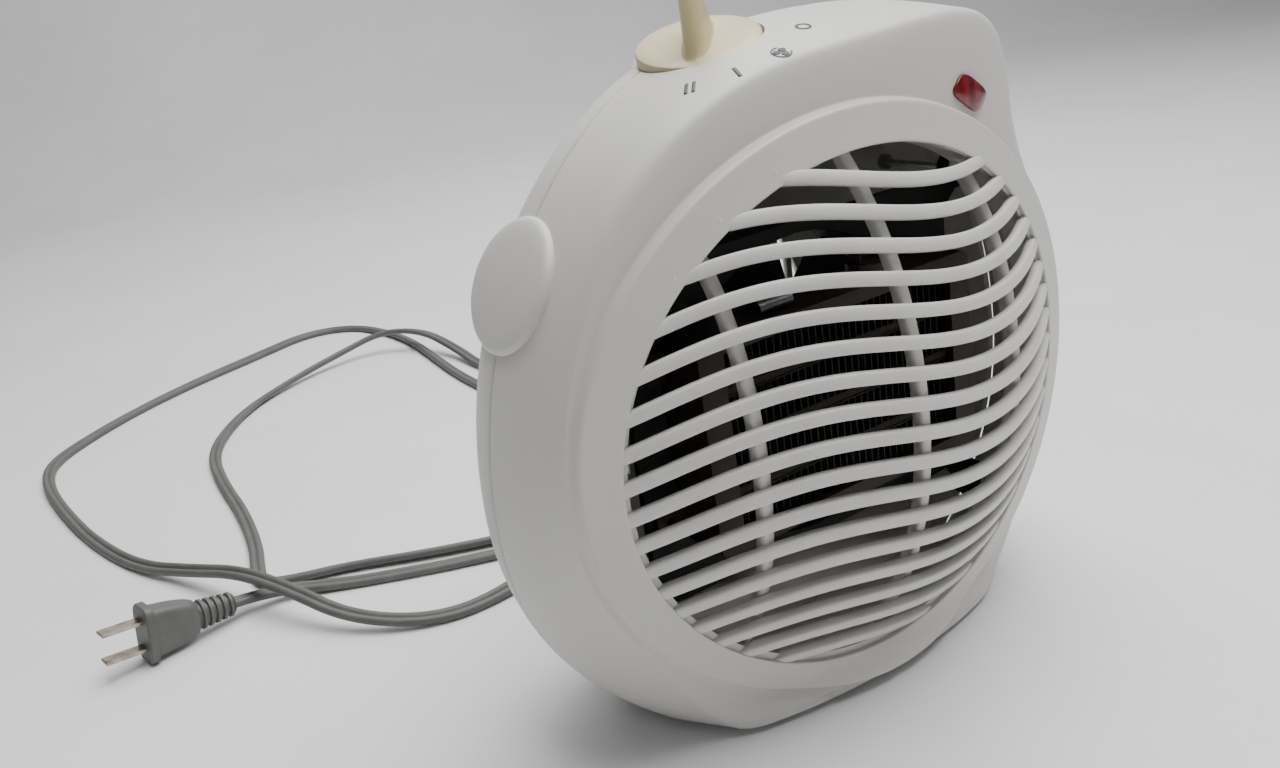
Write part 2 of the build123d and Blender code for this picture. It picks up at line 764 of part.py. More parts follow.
with BuildPart() as thermal_fuse:
    with BuildSketch(Plane(origin=(-30, element_y + 5, ring_z + element_height / 2 + frame_wall + 2.2), z_dir=(1, 0, 0))):
        Circle(2.2)
    extrude(amount=14)
save(thermal_fuse.part, "thermal_fuse")

# ================================================================ feet and screws
with BuildPart() as rubber_feet:
    with BuildSketch(Plane.XY):
        with Locations((-foot_x, foot_front_y), (foot_x, foot_front_y),
                       (-foot_x, foot_back_y), (foot_x, foot_back_y)):
            Circle(foot_radius)
    extrude(amount=foot_gap)
save(rubber_feet.part, "rubber_feet")

with BuildPart() as case_screws:
    with BuildSketch(xz(seam_y + screw_length - 12)):
        with Locations(*post_places):
            Circle(screw_head_radius)
    extrude(amount=-2.5)
    with BuildSketch(xz(seam_y + screw_length - 12)):
        with Locations(*post_places):
            Circle(screw_radius * 0.8)
    extrude(amount=screw_length)
save(case_screws.part, "case_screws")

# ================================================================ cord, gland and plug
with BuildPart() as cord_gland:
    with BuildSketch(xz(rear_y - 13)):
        with Locations((gland_x, gland_z)):
            Circle(gland_radius)
    extrude(amount=-13)
    with BuildSketch(xz(rear_y + fit_gap)):
        with Locations((gland_x, gland_z)):
            Circle(gland_radius + 2)
    extrude(amount=-2.5)
    with BuildSketch(xz(rear_y)):
        with Locations((gland_x, gland_z)):
            Circle(gland_radius)
    extrude(amount=-gland_length, taper=4)
save(cord_gland.part, "cord_gland")

floor_line = cord_diameter / 2
bridge = floor_line + cord_diameter + 6.0   # axis of the upper strand at a crossing
gland_tip = rear_y + gland_length
plug_tip = Vector(plug_x, plug_y, plug_z)
plug_slope = math.radians(plug_tilt)
plug_turned = math.radians(plug_turn)
plug_axis = Vector(-math.cos(plug_turned) * math.cos(plug_slope),
                   -math.sin(plug_turned) * math.cos(plug_slope), math.sin(plug_slope))
lead_end = plug_tip - plug_axis * lead_run
cord_route = [
    (gland_x, gland_tip, gland_z), (gland_x, gland_tip + 21, gland_z),
    (-19, 124, 17), (-46, 131, 6.5), (-74, 121, floor_line), (-108, 122, floor_line),
    (-138, 146, 8), (-154, 180, bridge), (-166, 214, bridge), (-180, 252, 8),
    (-199, 290, floor_line), (-211, 345, floor_line), (-217, 410, floor_line),
    (-218, 458, floor_line), (-211, 496, floor_line), (-184, 526, floor_line),
    (-143, 558, floor_line), (-95, 583, floor_line), (-42, 603, floor_line),
    (4, 623, floor_line), (38, 606, floor_line), (50, 566, floor_line),
    (53, 520, floor_line), (48, 470, floor_line), (40, 400, floor_line),
    (42, 320, floor_line), (50, 250, floor_line), (40, 195, floor_line),
    (6, 163, floor_line), (-36, 160, floor_line), (-82, 180, floor_line),
    (-118, 202, floor_line), (-142, 211, floor_line), (-157, 220, floor_line),
    (-153, 238, floor_line), (-146, 264, floor_line), (-139, 312, floor_line),
    (-136, 362, floor_line), (-129, 412, floor_line), (-110, 452, floor_line),
    (-80, 488, floor_line), (-38, 513, 5), (0, 524, 9),
    (32, 521, bridge), (54, 494, bridge), (62, 455, 8), (60, 410, floor_line),
    (66, 340, floor_line), (70, 270, floor_line), (66, 210, floor_line),
    (50, 160, floor_line), (8, 140, floor_line), (-40, 147, floor_line),
    (-84, 165, floor_line), (-128, 188, floor_line),
    tuple(lead_end), tuple(plug_tip),
]


def corner_radii(points):
    """Arc radius at every inner point: 0.45 of the shorter run over tan of half the turn."""
    radii = []
    for before, corner, after in zip(points, points[1:], points[2:]):
        first = Vector(*corner) - Vector(*before)
        second = Vector(*after) - Vector(*corner)
        turn = math.radians(first.get_angle(second))
        radii.append(0.45 * min(first.length, second.length) / math.tan(turn / 2))
    return radii


bend_radii = corner_radii(cord_route)
print("cord radii", [round(radius) for radius in bend_radii])
with BuildLine() as cord_line:
    FilletPolyline(*cord_route, radius=bend_radii)
cord_length = cord_line.wires()[0].length
cord_start = Vector(*cord_route[1]) - Vector(*cord_route[0])
with BuildPart() as power_cord:
    with BuildSketch(Plane(origin=cord_route[0], z_dir=cord_start)):
        Circle(cord_diameter / 2)
    sweep(path=cord_line.wires()[0])
expected = math.pi * cord_diameter ** 2 / 4 * cord_length
print("cord length", round(cord_length), "volume", round(power_cord.part.volume),
      "expected", round(expected))
save(power_cord.part, "power_cord")


def plug_level(reach):
    """Plane square to the plug's axis, reach behind the tip of its strain relief."""
    return Plane(origin=plug_tip + plug_axis * reach, x_dir=(0, 0, 1), z_dir=plug_axis)


body_start = plug_relief_length
flange_start = body_start + plug_body_length
blade_start = flange_start + plug_flange_length
rib_step = 3.4
with BuildPart() as plug_body:
    with BuildSketch(plug_level(0)):
        Circle(plug_relief_radius)
    extrude(amount=plug_relief_length + 2)
    # ribs of the strain relief
    for rib in range(4):
        with BuildSketch(plug_level(1.5 + rib * rib_step)):
            Circle(plug_relief_radius + 1.3)
        extrude(amount=rib_step / 2)
    with BuildSketch(plug_level(body_start)):
        RectangleRounded(15, 12, 4)
    with BuildSketch(plug_level(flange_start + 0.5)):
        RectangleRounded(plug_flange_height - 4, plug_flange_width - 3, 4)
    loft()
    with BuildSketch(plug_level(flange_start)):
        RectangleRounded(plug_flange_height, plug_flange_width, 5)
    extrude(amount=plug_flange_length)
save(plug_body.part, "plug_body")

with BuildPart() as plug_blades:
    with BuildSketch(plug_level(blade_start)):
        with GridLocations(blade_spacing, 1, 2, 1):
            Rectangle(blade_thickness, blade_width)
    extrude(amount=blade_length)
    chamfer(plug_blades.faces().sort_by(Axis.X)[:2].edges(), 0.4)
save(plug_blades.part, "plug_blades")
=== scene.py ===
"""Upright ceramic fan heater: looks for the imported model.

One section for each piece, in the order in which the heater is put together. Sizes are
millimetres and become metres where a mesh is made.
"""

import math

import bpy
import numpy as np
from mathutils import Matrix, Vector
from mathutils.bvhtree import BVHTree


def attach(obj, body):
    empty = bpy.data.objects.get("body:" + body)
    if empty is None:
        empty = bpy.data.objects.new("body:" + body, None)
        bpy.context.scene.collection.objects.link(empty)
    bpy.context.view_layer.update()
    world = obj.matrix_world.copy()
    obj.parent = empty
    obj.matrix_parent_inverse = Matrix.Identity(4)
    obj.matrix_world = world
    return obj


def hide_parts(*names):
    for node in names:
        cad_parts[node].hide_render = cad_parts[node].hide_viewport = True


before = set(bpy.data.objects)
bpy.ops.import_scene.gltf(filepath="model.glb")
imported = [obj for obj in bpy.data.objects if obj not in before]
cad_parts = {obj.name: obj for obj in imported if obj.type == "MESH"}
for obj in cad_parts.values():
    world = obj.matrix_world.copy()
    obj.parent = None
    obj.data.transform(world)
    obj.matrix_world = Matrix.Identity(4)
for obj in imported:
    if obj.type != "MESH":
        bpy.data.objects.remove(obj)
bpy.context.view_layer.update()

# ---------------------------------------------------------------- view
# A hand-held camera, above and to the left of the heater and tilted a little.
camera_place = (-249.1, -296.8, 254.1)
camera_yaw = 31.578
camera_pitch = 20.272
camera_roll = -8.606
camera_data = bpy.data.cameras.new("camera")
camera_data.lens = 32.34
camera_data.sensor_width = 36
camera_data.clip_start = 0.01
camera = bpy.data.objects.new("camera", camera_data)
bpy.context.collection.objects.link(camera)
heading = math.radians(camera_yaw)
dip = math.radians(camera_pitch)
lean = math.radians(camera_roll)
forward = Vector((math.sin(heading) * math.cos(dip), math.cos(heading) * math.cos(dip), -math.sin(dip)))
level_right = Vector((math.cos(heading), -math.sin(heading), 0))
level_up = level_right.cross(forward)
right = level_right * math.cos(lean) + level_up * math.sin(lean)
up = level_up * math.cos(lean) - level_right * math.sin(lean)
camera_axes = Matrix((right, up, -forward)).transposed().to_4x4()
camera.matrix_world = Matrix.Translation(Vector(camera_place) / 1000) @ camera_axes
bpy.context.scene.camera = camera


# ---------------------------------------------------------------- table and studio
# The heater stands on a white laminate sheet that curves up into a pale wall, in the
# soft light of three large panels.
def linear(hex_colour):
    """sRGB hex to linear RGBA: the power law with its straight toe."""
    channels = [int(hex_colour[at:at + 2], 16) / 255 for at in (1, 3, 5)]
    return [c / 12.92 if c <= 0.04045 else ((c + 0.055) / 1.055) ** 2.4 for c in channels] + [1.0]


def add_node(material, kind, links=None, **settings):
    """Adds a node; settings name its properties or sockets, links join sockets to outputs."""
    node = material.node_tree.nodes.new(kind)
    for name, value in settings.items():
        if hasattr(node, name):
            setattr(node, name, value)
        else:
            node.inputs[name.replace("_", " ")].default_value = value
    for socket, output in (links or {}).items():
        material.node_tree.links.new(output, node.inputs[socket])
    return node


def new_material(name, **shader_settings):
    """A material with one Principled shader; the settings go on the shader's own sockets."""
    material = bpy.data.materials.new(name)
    material.use_nodes = True
    shader = material.node_tree.nodes["Principled BSDF"]
    for socket, value in shader_settings.items():
        shader.inputs[socket.replace("_", " ")].default_value = value
    return material, shader


def colour_between(material, factor, low, high, start=0.3, end=0.7):
    """Colour ramp between two hex colours, driven by factor."""
    ramp = add_node(material, "ShaderNodeValToRGB", {"Fac": factor})
    ramp.color_ramp.elements[0].position = start
    ramp.color_ramp.elements[0].color = linear(low)
    ramp.color_ramp.elements[1].position = end
    ramp.color_ramp.elements[1].color = linear(high)
    return ramp.outputs["Color"]


def painted(material, shader, factor, low, high, start=0.3, end=0.7):
    """Colour between two hex colours, driven by factor, into the shader's base colour."""
    colour = colour_between(material, factor, low, high, start, end)
    material.node_tree.links.new(colour, shader.inputs["Base Color"])


def noise(material, size_mm, detail=3.0, roughness=0.5, stretch=(1, 1, 1)):
    """Noise on Object coordinates whose lumps are about size_mm across, stretched along an axis."""
    where = add_node(material, "ShaderNodeTexCoord")
    mapping = add_node(material, "ShaderNodeMapping", {"Vector": where.outputs["Object"]})
    mapping.inputs["Scale"].default_value = stretch
    return add_node(material, "ShaderNodeTexNoise", {"Vector": mapping.outputs["Vector"]},
                    Scale=1000 / size_mm, Detail=detail, Roughness=roughness).outputs["Fac"]


def bump_from(material, shader, height, strength, distance_mm):
    """Bump whose full height is distance_mm, into the shader's normal."""
    bump = add_node(material, "ShaderNodeBump", {"Height": height}, Strength=strength,
                    Distance=distance_mm / 1000)
    material.node_tree.links.new(bump.outputs["Normal"], shader.inputs["Normal"])


def roughness_between(material, shader, factor, low, high):
    """Roughness that runs from low to high with factor."""
    spread = add_node(material, "ShaderNodeMapRange", {"Value": factor}, To_Min=low, To_Max=high)
    material.node_tree.links.new(spread.outputs["Result"], shader.inputs["Roughness"])


def mesh_object(name, points, faces, material, smooth_angle=35):
    """Mesh from points in millimetres, faces as index rows; smooth except at sharp edges."""
    mesh = bpy.data.meshes.new(name)
    mesh.from_pydata((np.asarray(points) / 1000).tolist(), [], np.asarray(faces).tolist())
    mesh.polygons.foreach_set("use_smooth", [True] * len(mesh.polygons))
    mesh.set_sharp_from_angle(angle=math.radians(smooth_angle))
    mesh.materials.append(material)
    piece = bpy.data.objects.new(name, mesh)
    bpy.context.collection.objects.link(piece)
    return piece


def grid_faces(rows, columns, closed_rows=False, closed_columns=False, flip=False):
    """Quads of a rows by columns grid of points, as rows of four indices."""
    first = np.arange(rows if closed_rows else rows - 1)
    across = np.arange(columns if closed_columns else columns - 1)
    i, j = np.meshgrid(first, across, indexing="ij")
    i_next = (i + 1) % rows
    j_next = (j + 1) % columns
    quads = np.stack([i * columns + j, i * columns + j_next, i_next * columns + j_next,
                      i_next * columns + j], axis=-1).reshape(-1, 4)
    return quads[:, ::-1] if flip else quads


def capped_faces(rows, columns):
    """Faces of a tube of rows rings, each of columns points, with a flat cap at both ends."""
    caps = [list(range(columns))[::-1], list(range((rows - 1) * columns, rows * columns))]
    return grid_faces(rows, columns, closed_columns=True).tolist() + caps


laminate, laminate_shader = new_material("white_laminate_sheet", Roughness=0.38)
# Faint cloudy grey marks of a wiped table top.
laminate_tone = noise(laminate, 190, 5.0, 0.6)
painted(laminate, laminate_shader, laminate_tone, "#e6e6e7", "#eeeeee")
roughness_between(laminate, laminate_shader, noise(laminate, 30), 0.3, 0.46)
sweep_front = -2400          # the sheet's near edge
sweep_flat = 1500.0
sweep_bend = 700.0
sweep_wall = 1800.0
bend_angles = np.linspace(0, math.pi / 2, 24)
sweep_out = np.concatenate([[sweep_front], sweep_flat + sweep_bend * np.sin(bend_angles),
                            [sweep_flat + sweep_bend]])
sweep_up = np.concatenate([[0], sweep_bend * (1 - np.cos(bend_angles)), [sweep_wall]])
sweep_side = np.array([-3500.0, 3500.0])
out_grid, side_grid = np.meshgrid(sweep_out, sweep_side, indexing="ij")
up_grid = np.repeat(sweep_up[:, None], 2, axis=1)
wall_turn = math.radians(20)
sweep_points = np.stack([side_grid * math.cos(wall_turn) + out_grid * math.sin(wall_turn),
                         -side_grid * math.sin(wall_turn) + out_grid * math.cos(wall_turn), up_grid], axis=-1)
table = mesh_object("table_sheet", sweep_points.reshape(-1, 3), grid_faces(len(sweep_out), 2, flip=True),
                    laminate, 80)

for light_name, place, target, size, power in (
        ("panel_above", (330, 60, 1350), (0, 80, 80), (1500, 1200), 39.0),
        ("panel_front", (-900, -1100, 800), (0, 0, 100), (1000, 800), 0.8),
        ("panel_back", (500, 1500, 1100), (0, 900, 250), (1400, 700), 4.0)):
    light = bpy.data.lights.new(light_name, "AREA")
    light.shape = "RECTANGLE"
    light.size = size[0] / 1000
    light.size_y = size[1] / 1000
    light.energy = power
    lamp = bpy.data.objects.new(light_name, light)
    bpy.context.collection.objects.link(lamp)
    aim = Vector(target) - Vector(place)
    lamp_turn = aim.to_track_quat("-Z", "Y").to_matrix().to_4x4()
    lamp.matrix_world = Matrix.Translation(Vector(place) / 1000) @ lamp_turn
world = bpy.data.worlds.new("studio")
world.use_nodes = True
world.node_tree.nodes["Background"].inputs["Color"].default_value = linear("#e6e8ec")
world.node_tree.nodes["Background"].inputs["Strength"].default_value = 0.22
bpy.context.scene.world = world

# ---------------------------------------------------------------- housing, rear half
# Injection moulded polypropylene bowl with upright intake slots in its flat back. It is
# pushed against the front half and held by four long screws.
ring_middle = 102.0          # height of the ring's centre
ring_plane = -34.75
seam_depth = 48.0            # seam behind the ring's plane
seam_half_gap = 0.25
back_depth = 98.0            # back face behind the ring's plane
back_face = ring_plane + back_depth
body_half_width = 120.0
egg_top = 127.0              # the egg's top, bottom and widest level, from the ring's centre
egg_bottom = -128.0
egg_widest = -16.0
base_height = 3.0
shell_wall = 2.2
round_count = 300            # columns round the body
round_angles = np.linspace(0, 2 * math.pi, round_count, endpoint=False)
centre_up = 2.0              # pole of the polar outlines, above the ring's centre


def polar_outline(x, z, soften=0.0):
    """Radius about the pole for every column, from the points of a closed outline.

    With soften, the radius is smoothed round the body by a Gaussian of that many columns.
    """
    angle = np.arctan2(z - centre_up, x) % (2 * math.pi)
    order = np.argsort(angle)
    radius = np.interp(round_angles, angle[order], np.hypot(x, z - centre_up)[order], period=2 * math.pi)
    waves = np.arange(round_count // 2 + 1) / round_count
    return np.fft.irfft(np.fft.rfft(radius) * np.exp(-2 * (math.pi * soften * waves) ** 2), round_count)


def egg(half, top, bottom, widest):
    """Egg outline: an upper and a lower half ellipse that share their width."""
    turn = np.linspace(0, 2 * math.pi, 1200, endpoint=False)
    rise = np.where(np.sin(turn) > 0, top - widest, widest - bottom)
    return polar_outline(half * np.cos(turn), widest + rise * np.sin(turn))


def spline_rows(controls, steps):
    """Cubic B-spline down the rows of controls, with both ends held: basis matrix times controls."""
    held = np.concatenate([controls[:1], controls[:1], controls, controls[-1:], controls[-1:]])
    spans = len(held) - 3
    f = np.linspace(0, 1, steps, endpoint=False)
    weights = np.stack([(1 - f) ** 3, 3 * f ** 3 - 6 * f ** 2 + 4,
                        -3 * f ** 3 + 3 * f ** 2 + 3 * f + 1, f ** 3]) / 6
    basis = np.zeros((spans * steps + 1, len(held)))
    for span in range(spans):
        basis[span * steps:(span + 1) * steps, span:span + 4] = weights.T
    basis[-1, -1] = 1
    return np.tensordot(basis, held, axes=1)


def body_points(depths, radii):
    """Points of rings of polar radius at depths behind the ring's plane, before the base is cut."""
    x = radii * np.cos(round_angles)
    z = ring_middle + centre_up + radii * np.sin(round_angles)
    return np.stack([x, ring_plane + depths, z], axis=-1)


def solid_wall(piece, thickness):
    """Turns a surface into a wall, inwards from its outer face."""
    wall = piece.modifiers.new("wall", "SOLIDIFY")
    wall.thickness = thickness / 1000
    wall.offset = -1
    wall.use_even_offset = False


housing_plastic, housing_shader = new_material("moulded_polypropylene_white", IOR=1.49)
# Warm white with a slow yellowing, faint grey handling marks and a fine moulded grain.
yellowing = noise(housing_plastic, 90, 2.0)
handled = noise(housing_plastic, 22, 6.0, 0.7)
age = colour_between(housing_plastic, yellowing, "#cfcdc8", "#d3d1ca", 0.25, 0.75)
marks = add_node(housing_plastic, "ShaderNodeMapRange", {"Value": handled}, From_Min=0.66, From_Max=0.78,
                 To_Min=0.0, To_Max=0.35).outputs["Result"]
housing_tone = add_node(housing_plastic, "ShaderNodeMix", data_type="RGBA")
housing_plastic.node_tree.links.new(marks, housing_tone.inputs[0])
housing_plastic.node_tree.links.new(age, housing_tone.inputs[6])
housing_tone.inputs[7].default_value = linear("#a39f95")
housing_plastic.node_tree.links.new(housing_tone.outputs[2], housing_shader.inputs["Base Color"])
roughness_between(housing_plastic, housing_shader, handled, 0.36, 0.52)
# The real spark-eroded grain is 0.1 mm, drawn at 0.5 mm so that it can be seen at all.
bump_from(housing_plastic, housing_shader, noise(housing_plastic, 0.5, 2.0), 0.25, 0.02)

egg_outline = egg(body_half_width, egg_top, egg_bottom, egg_widest)
# The head's right side stands up square above the egg.
shoulder_x = np.array([-8.0, 10, 30, 50, 66, 77, 84, 87, 88.5, 92, 99, 106, 112])
shoulder_z = np.array([126.6, 127.8, 128.2, 127, 124, 118.5, 110, 100, 89, 77, 64, 48.5, 30])
shoulder_outline = polar_outline(np.append(shoulder_x, [0.0, -120.0]),
                                 np.append(shoulder_z, [-110.0, 2.0]), 2.0)
round_sine = np.sin(round_angles)
on_shoulder = np.clip((round_sine - 0.2) / 0.25, 0, 1) * np.clip((np.cos(round_angles) + 0.08) / 0.12, 0, 1)
on_shoulder = on_shoulder * on_shoulder * (3 - 2 * on_shoulder)
seam_egg = egg_outline + on_shoulder * np.maximum(shoulder_outline - egg_outline, 0)
intake_radius = 58.0
intake_up = 4.0
turn = np.linspace(0, 2 * math.pi, 600, endpoint=False)
intake_rim = polar_outline(intake_radius * np.cos(turn), intake_up + intake_radius * np.sin(turn))
rear_shares = np.array([0.0, 0.012, 0.03, 0.2, 0.4, 0.58, 0.74, 0.86, 0.94, 0.985, 1.0, 1.0, 1.0])
rear_shrink = np.array([0.994, 0.999, 1.0, 0.99, 0.955, 0.90, 0.835, 0.765, 0.70, 0.64, 0.59, 0.56, 0.5])
head_fall = np.clip(1 - rear_shares / 0.72, 0, 1)[:, None]
rear_radii = (egg_outline + (seam_egg - egg_outline) * head_fall) * rear_shrink[:, None]
rear_radii[-1] = intake_rim
rear_radii[-2] = intake_rim * 0.6 + seam_egg * 0.56 * 0.4
rear_edge = seam_depth + seam_half_gap
rear_depths = (rear_edge + rear_shares * (back_depth - rear_edge))[:, None] * np.ones(round_count)
rear_controls = body_points(rear_depths, rear_radii)
rear_surface = spline_rows(rear_controls, 5)
rear_surface[..., 2] = np.maximum(rear_surface[..., 2], base_height)
rear_shell = mesh_object("rear_housing", rear_surface.reshape(-1, 3),
                         grid_faces(len(rear_surface), round_count, closed_columns=True, flip=True),
                         housing_plastic)
solid_wall(rear_shell, shell_wall)
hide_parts("rear_shell")
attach(rear_shell, "housing")

# Intake guard: upright bars and one cross bar, moulded in one piece with the bowl.
guard_pitch = 6.4
guard_width = 3.2
guard_depth = 3.0
superellipse_turn = np.linspace(0, 2 * math.pi, 16, endpoint=False)


def squared(wave, power):
    """A sine or cosine to a power, keeping its sign: below 1 it squares off a circle."""
    return np.sign(wave) * np.abs(wave) ** power


def rounded_section(width, height, power=3.5):
    """Superellipse section: |x/a|^n + |y/b|^n = 1, as two arrays across and along its depth."""
    return (width / 2 * squared(np.cos(superellipse_turn), 2 / power),
            height / 2 * squared(np.sin(superellipse_turn), 2 / power))


def swept_bar(path, side, depth_way, width, depth):
    """Closed rounded bar along path; side and depth_way are its section's two directions."""
    across, along = rounded_section(width, depth)
    rings = (path[:, None, :] + side[:, None, :] * across[None, :, None]
             + depth_way[:, None, :] * along[None, :, None])
    count = len(superellipse_turn)
    points = np.concatenate([rings.reshape(-1, 3), path[:1], path[-1:]])
    faces = grid_faces(len(path), count, closed_columns=True)
    start = len(path) * count
    around = np.arange(count)
    onward = (around + 1) % count
    low_cap = np.stack([onward, around, np.full(count, start)], axis=-1)
    high_cap = np.stack([around + start - count, onward + start - count, np.full(count, start + 1)], axis=-1)
    return points, faces.tolist() + low_cap.tolist() + high_cap.tolist()


def joined(parts):
    """Several (points, faces) pairs as one."""
    points = []
    faces = []
    total = 0
    for part_points, part_faces in parts:
        points.append(part_points)
        faces += [[index + total for index in face] for face in part_faces]
        total += len(part_points)
    return np.concatenate(points), faces


def mixed_mesh(name, parts, material, smooth_angle=35):
    """Mesh object from several (points, faces) pairs whose faces may differ in size."""
    points, faces = joined(parts)
    mesh = bpy.data.meshes.new(name)
    mesh.from_pydata((points / 1000).tolist(), [], faces)
    mesh.polygons.foreach_set("use_smooth", [True] * len(mesh.polygons))
    mesh.set_sharp_from_angle(angle=math.radians(smooth_angle))
    mesh.materials.append(material)
    piece = bpy.data.objects.new(name, mesh)
    bpy.context.collection.objects.link(piece)
    return piece


guard_parts = []
guard_face = back_face - guard_depth / 2
for bar_x in np.arange(-9, 10) * guard_pitch:
    half = math.sqrt((intake_radius + 1.5) ** 2 - bar_x ** 2)
    heights = ring_middle + intake_up + np.linspace(-half, half, 9)
    bar_path = np.stack([np.full(9, bar_x), np.full(9, guard_face), heights], axis=-1)
    guard_parts.append(swept_bar(bar_path, np.tile([1.0, 0, 0], (9, 1)), np.tile([0, 1.0, 0], (9, 1)),
                                 guard_width, guard_depth))
cross_x = np.linspace(-intake_radius - 1.5, intake_radius + 1.5, 9)
cross_path = np.stack([cross_x, np.full(9, guard_face), np.full(9, ring_middle + intake_up)], axis=-1)
guard_parts.append(swept_bar(cross_path, np.tile([0, 0, -1.0], (9, 1)), np.tile([0, 1.0, 0], (9, 1)),
                             5.0, guard_depth - 0.2))
intake_guard = mixed_mesh("intake_guard", guard_parts, housing_plastic)
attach(intake_guard, "housing")

# ---------------------------------------------------------------- motor, fan and duct
# Shaded-pole motor on a spider of the glass-filled duct, with a seven-blade fan pressed
# on its shaft. All of it is dark or dusty, seen only between the bars and slots.


def dress(node_names, material):
    """Gives CAD nodes a material."""
    for node_name in node_names:
        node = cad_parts[node_name]
        node.data.materials.clear()
        node.data.materials.append(material)


duct_plastic, duct_shader = new_material("glass_filled_nylon_black", Specular_IOR_Level=0.35)
# Charcoal with a grey film of dust on it.
duct_dust = noise(duct_plastic, 14, 5.0, 0.65)
painted(duct_plastic, duct_shader, duct_dust, "#161616", "#2c2a28")
roughness_between(duct_plastic, duct_shader, duct_dust, 0.5, 0.8)
bump_from(duct_plastic, duct_shader, noise(duct_plastic, 1.2), 0.3, 0.05)
dress(["fan_duct", "fan_impeller", "switch_body"], duct_plastic)

plated_steel, plated_shader = new_material("zinc_plated_steel", Metallic=1.0)
# Blue-white plating with duller clouds where it has been handled.
plating = noise(plated_steel, 6, 4.0)
painted(plated_steel, plated_shader, plating, "#8d8e8e", "#b3b5b6")
roughness_between(plated_steel, plated_shader, plating, 0.25, 0.5)
bump_from(plated_steel, plated_shader, noise(plated_steel, 0.8, 2.0, 0.5, (1, 8, 1)), 0.2, 0.01)
dress(["front_bearing_plate", "rear_bearing_plate", "motor_spacers", "motor_screws", "motor_shaft",
       "switch_shaft", "case_screws", "thermal_fuse"], plated_steel)

stack_steel, stack_shader = new_material("varnished_silicon_steel", Metallic=0.7)
# Stamped laminations: fine lines across the stack under brown varnish, drawn at 1 mm.
stack_lines = noise(stack_steel, 1.0, 1.0, 0.3, (0.02, 1, 0.02))
painted(stack_steel, stack_shader, stack_lines, "#2b2724", "#4c4844")
roughness_between(stack_steel, stack_shader, stack_lines, 0.35, 0.6)
bump_from(stack_steel, stack_shader, stack_lines, 0.5, 0.05)
dress(["motor_stack", "motor_rotor"], stack_steel)

coil_tape, coil_shader = new_material("polyester_coil_tape")
# Amber tape wound round the coil, with the edges of its turns just showing.
coil_turns = noise(coil_tape, 3.0, 2.0, 0.4, (0.1, 0.1, 1))
painted(coil_tape, coil_shader, coil_turns, "#7a5a1c", "#a67f33")
roughness_between(coil_tape, coil_shader, coil_turns, 0.3, 0.45)
bump_from(coil_tape, coil_shader, coil_turns, 0.4, 0.1)
dress(["motor_coil"], coil_tape)

bush_bronze, bush_shader = new_material("sintered_bronze", Metallic=1.0)
# Porous bearing bronze, dark with oil in its pores.
bush_pores = noise(bush_bronze, 0.6, 4.0)
painted(bush_bronze, bush_shader, bush_pores, "#5f4526", "#a07a46")
roughness_between(bush_bronze, bush_shader, bush_pores, 0.35, 0.6)
bump_from(bush_bronze, bush_shader, bush_pores, 0.3, 0.02)
dress(["front_bush", "rear_bush"], bush_bronze)

# ---------------------------------------------------------------- heating element
# Aluminium fin packs glued to flat ceramic heating strips, held in a phenolic frame with
# a thermal cut-out on top.
fin_alloy, fin_shader = new_material("rolled_aluminium_fin", Metallic=1.0)
# Dull rolled foil, coloured near black as painted shade of the dark inside of the body, with patches of dust.
fin_shade_and_dust = noise(fin_alloy, 25, 3.0)
# Both colours are painted shade: the foil itself would be pale grey.
painted(fin_alloy, fin_shader, fin_shade_and_dust, "#26241f", "#3a3936")
roughness_between(fin_alloy, fin_shader, fin_shade_and_dust, 0.4, 0.6)
bump_from(fin_alloy, fin_shader, noise(fin_alloy, 1.0, 2.0, 0.5, (1, 0.1, 1)), 0.2, 0.02)
dress(["fin_packs"], fin_alloy)

strip_ceramic, strip_shader = new_material("barium_titanate_ceramic")
# Unglazed grey-brown pressed ceramic with a powdery surface.
strip_grain = noise(strip_ceramic, 0.9, 4.0)
painted(strip_ceramic, strip_shader, strip_grain, "#241f1a", "#3a332c")
roughness_between(strip_ceramic, strip_shader, strip_grain, 0.7, 0.9)
bump_from(strip_ceramic, strip_shader, strip_grain, 0.4, 0.04)
dress(["ceramic_strips"], strip_ceramic)

phenolic, phenolic_shader = new_material("phenolic_resin_brown")
# Compression moulded phenolic resin, dark brown with a soft mottle.
phenolic_mottle = noise(phenolic, 5, 4.0)
painted(phenolic, phenolic_shader, phenolic_mottle, "#1a100c", "#2c1c15")
roughness_between(phenolic, phenolic_shader, phenolic_mottle, 0.4, 0.6)
bump_from(phenolic, phenolic_shader, noise(phenolic, 0.8), 0.2, 0.03)
dress(["element_frame", "thermal_cutout"], phenolic)

# ---------------------------------------------------------------- housing, front half
# One polypropylene moulding: side wall, rounded head with the controls, a cove, the
# raised outlet ring and the apron that meets the table.
wrap_depth = 9.0             # the front falls back this much at the ring's two ends
ring_half_width = 110.0
head_x = np.array([
    0, 22, 44, 60, 71, 79.5, 85, 87.5, 88.5, 91, 96.5, 103.5, 110, 112.8, 113, 109, 98, 89, 81, 72, 62, 44,
    24, 0, -24, -44, -62, -72, -81, -89, -98, -109, -113, -112.8, -109.5, -103, -95, -85.5, -75, -61, -43,
    -22.0])
head_z = np.array([
    119.5, 120.5, 121.5, 121.5, 120, 116.5, 110.5, 101, 87, 74, 61, 46, 28, 10, -8, -30, -52, -66, -80, -92,
    -101, -112, -118, -120, -118, -112, -101, -92, -80, -66, -52, -30, -8, 10, 29, 48, 65, 80, 92, 103, 112,
    117.5])
head_outline = polar_outline(head_x, head_z, 2.5)
ring_outline = egg(ring_half_width, 101.0, -97.0, 2.0)
opening_outline = egg(97.0, 87.6, -86.0, 1.0)
head_outline = np.maximum(head_outline, ring_outline + 2.2)
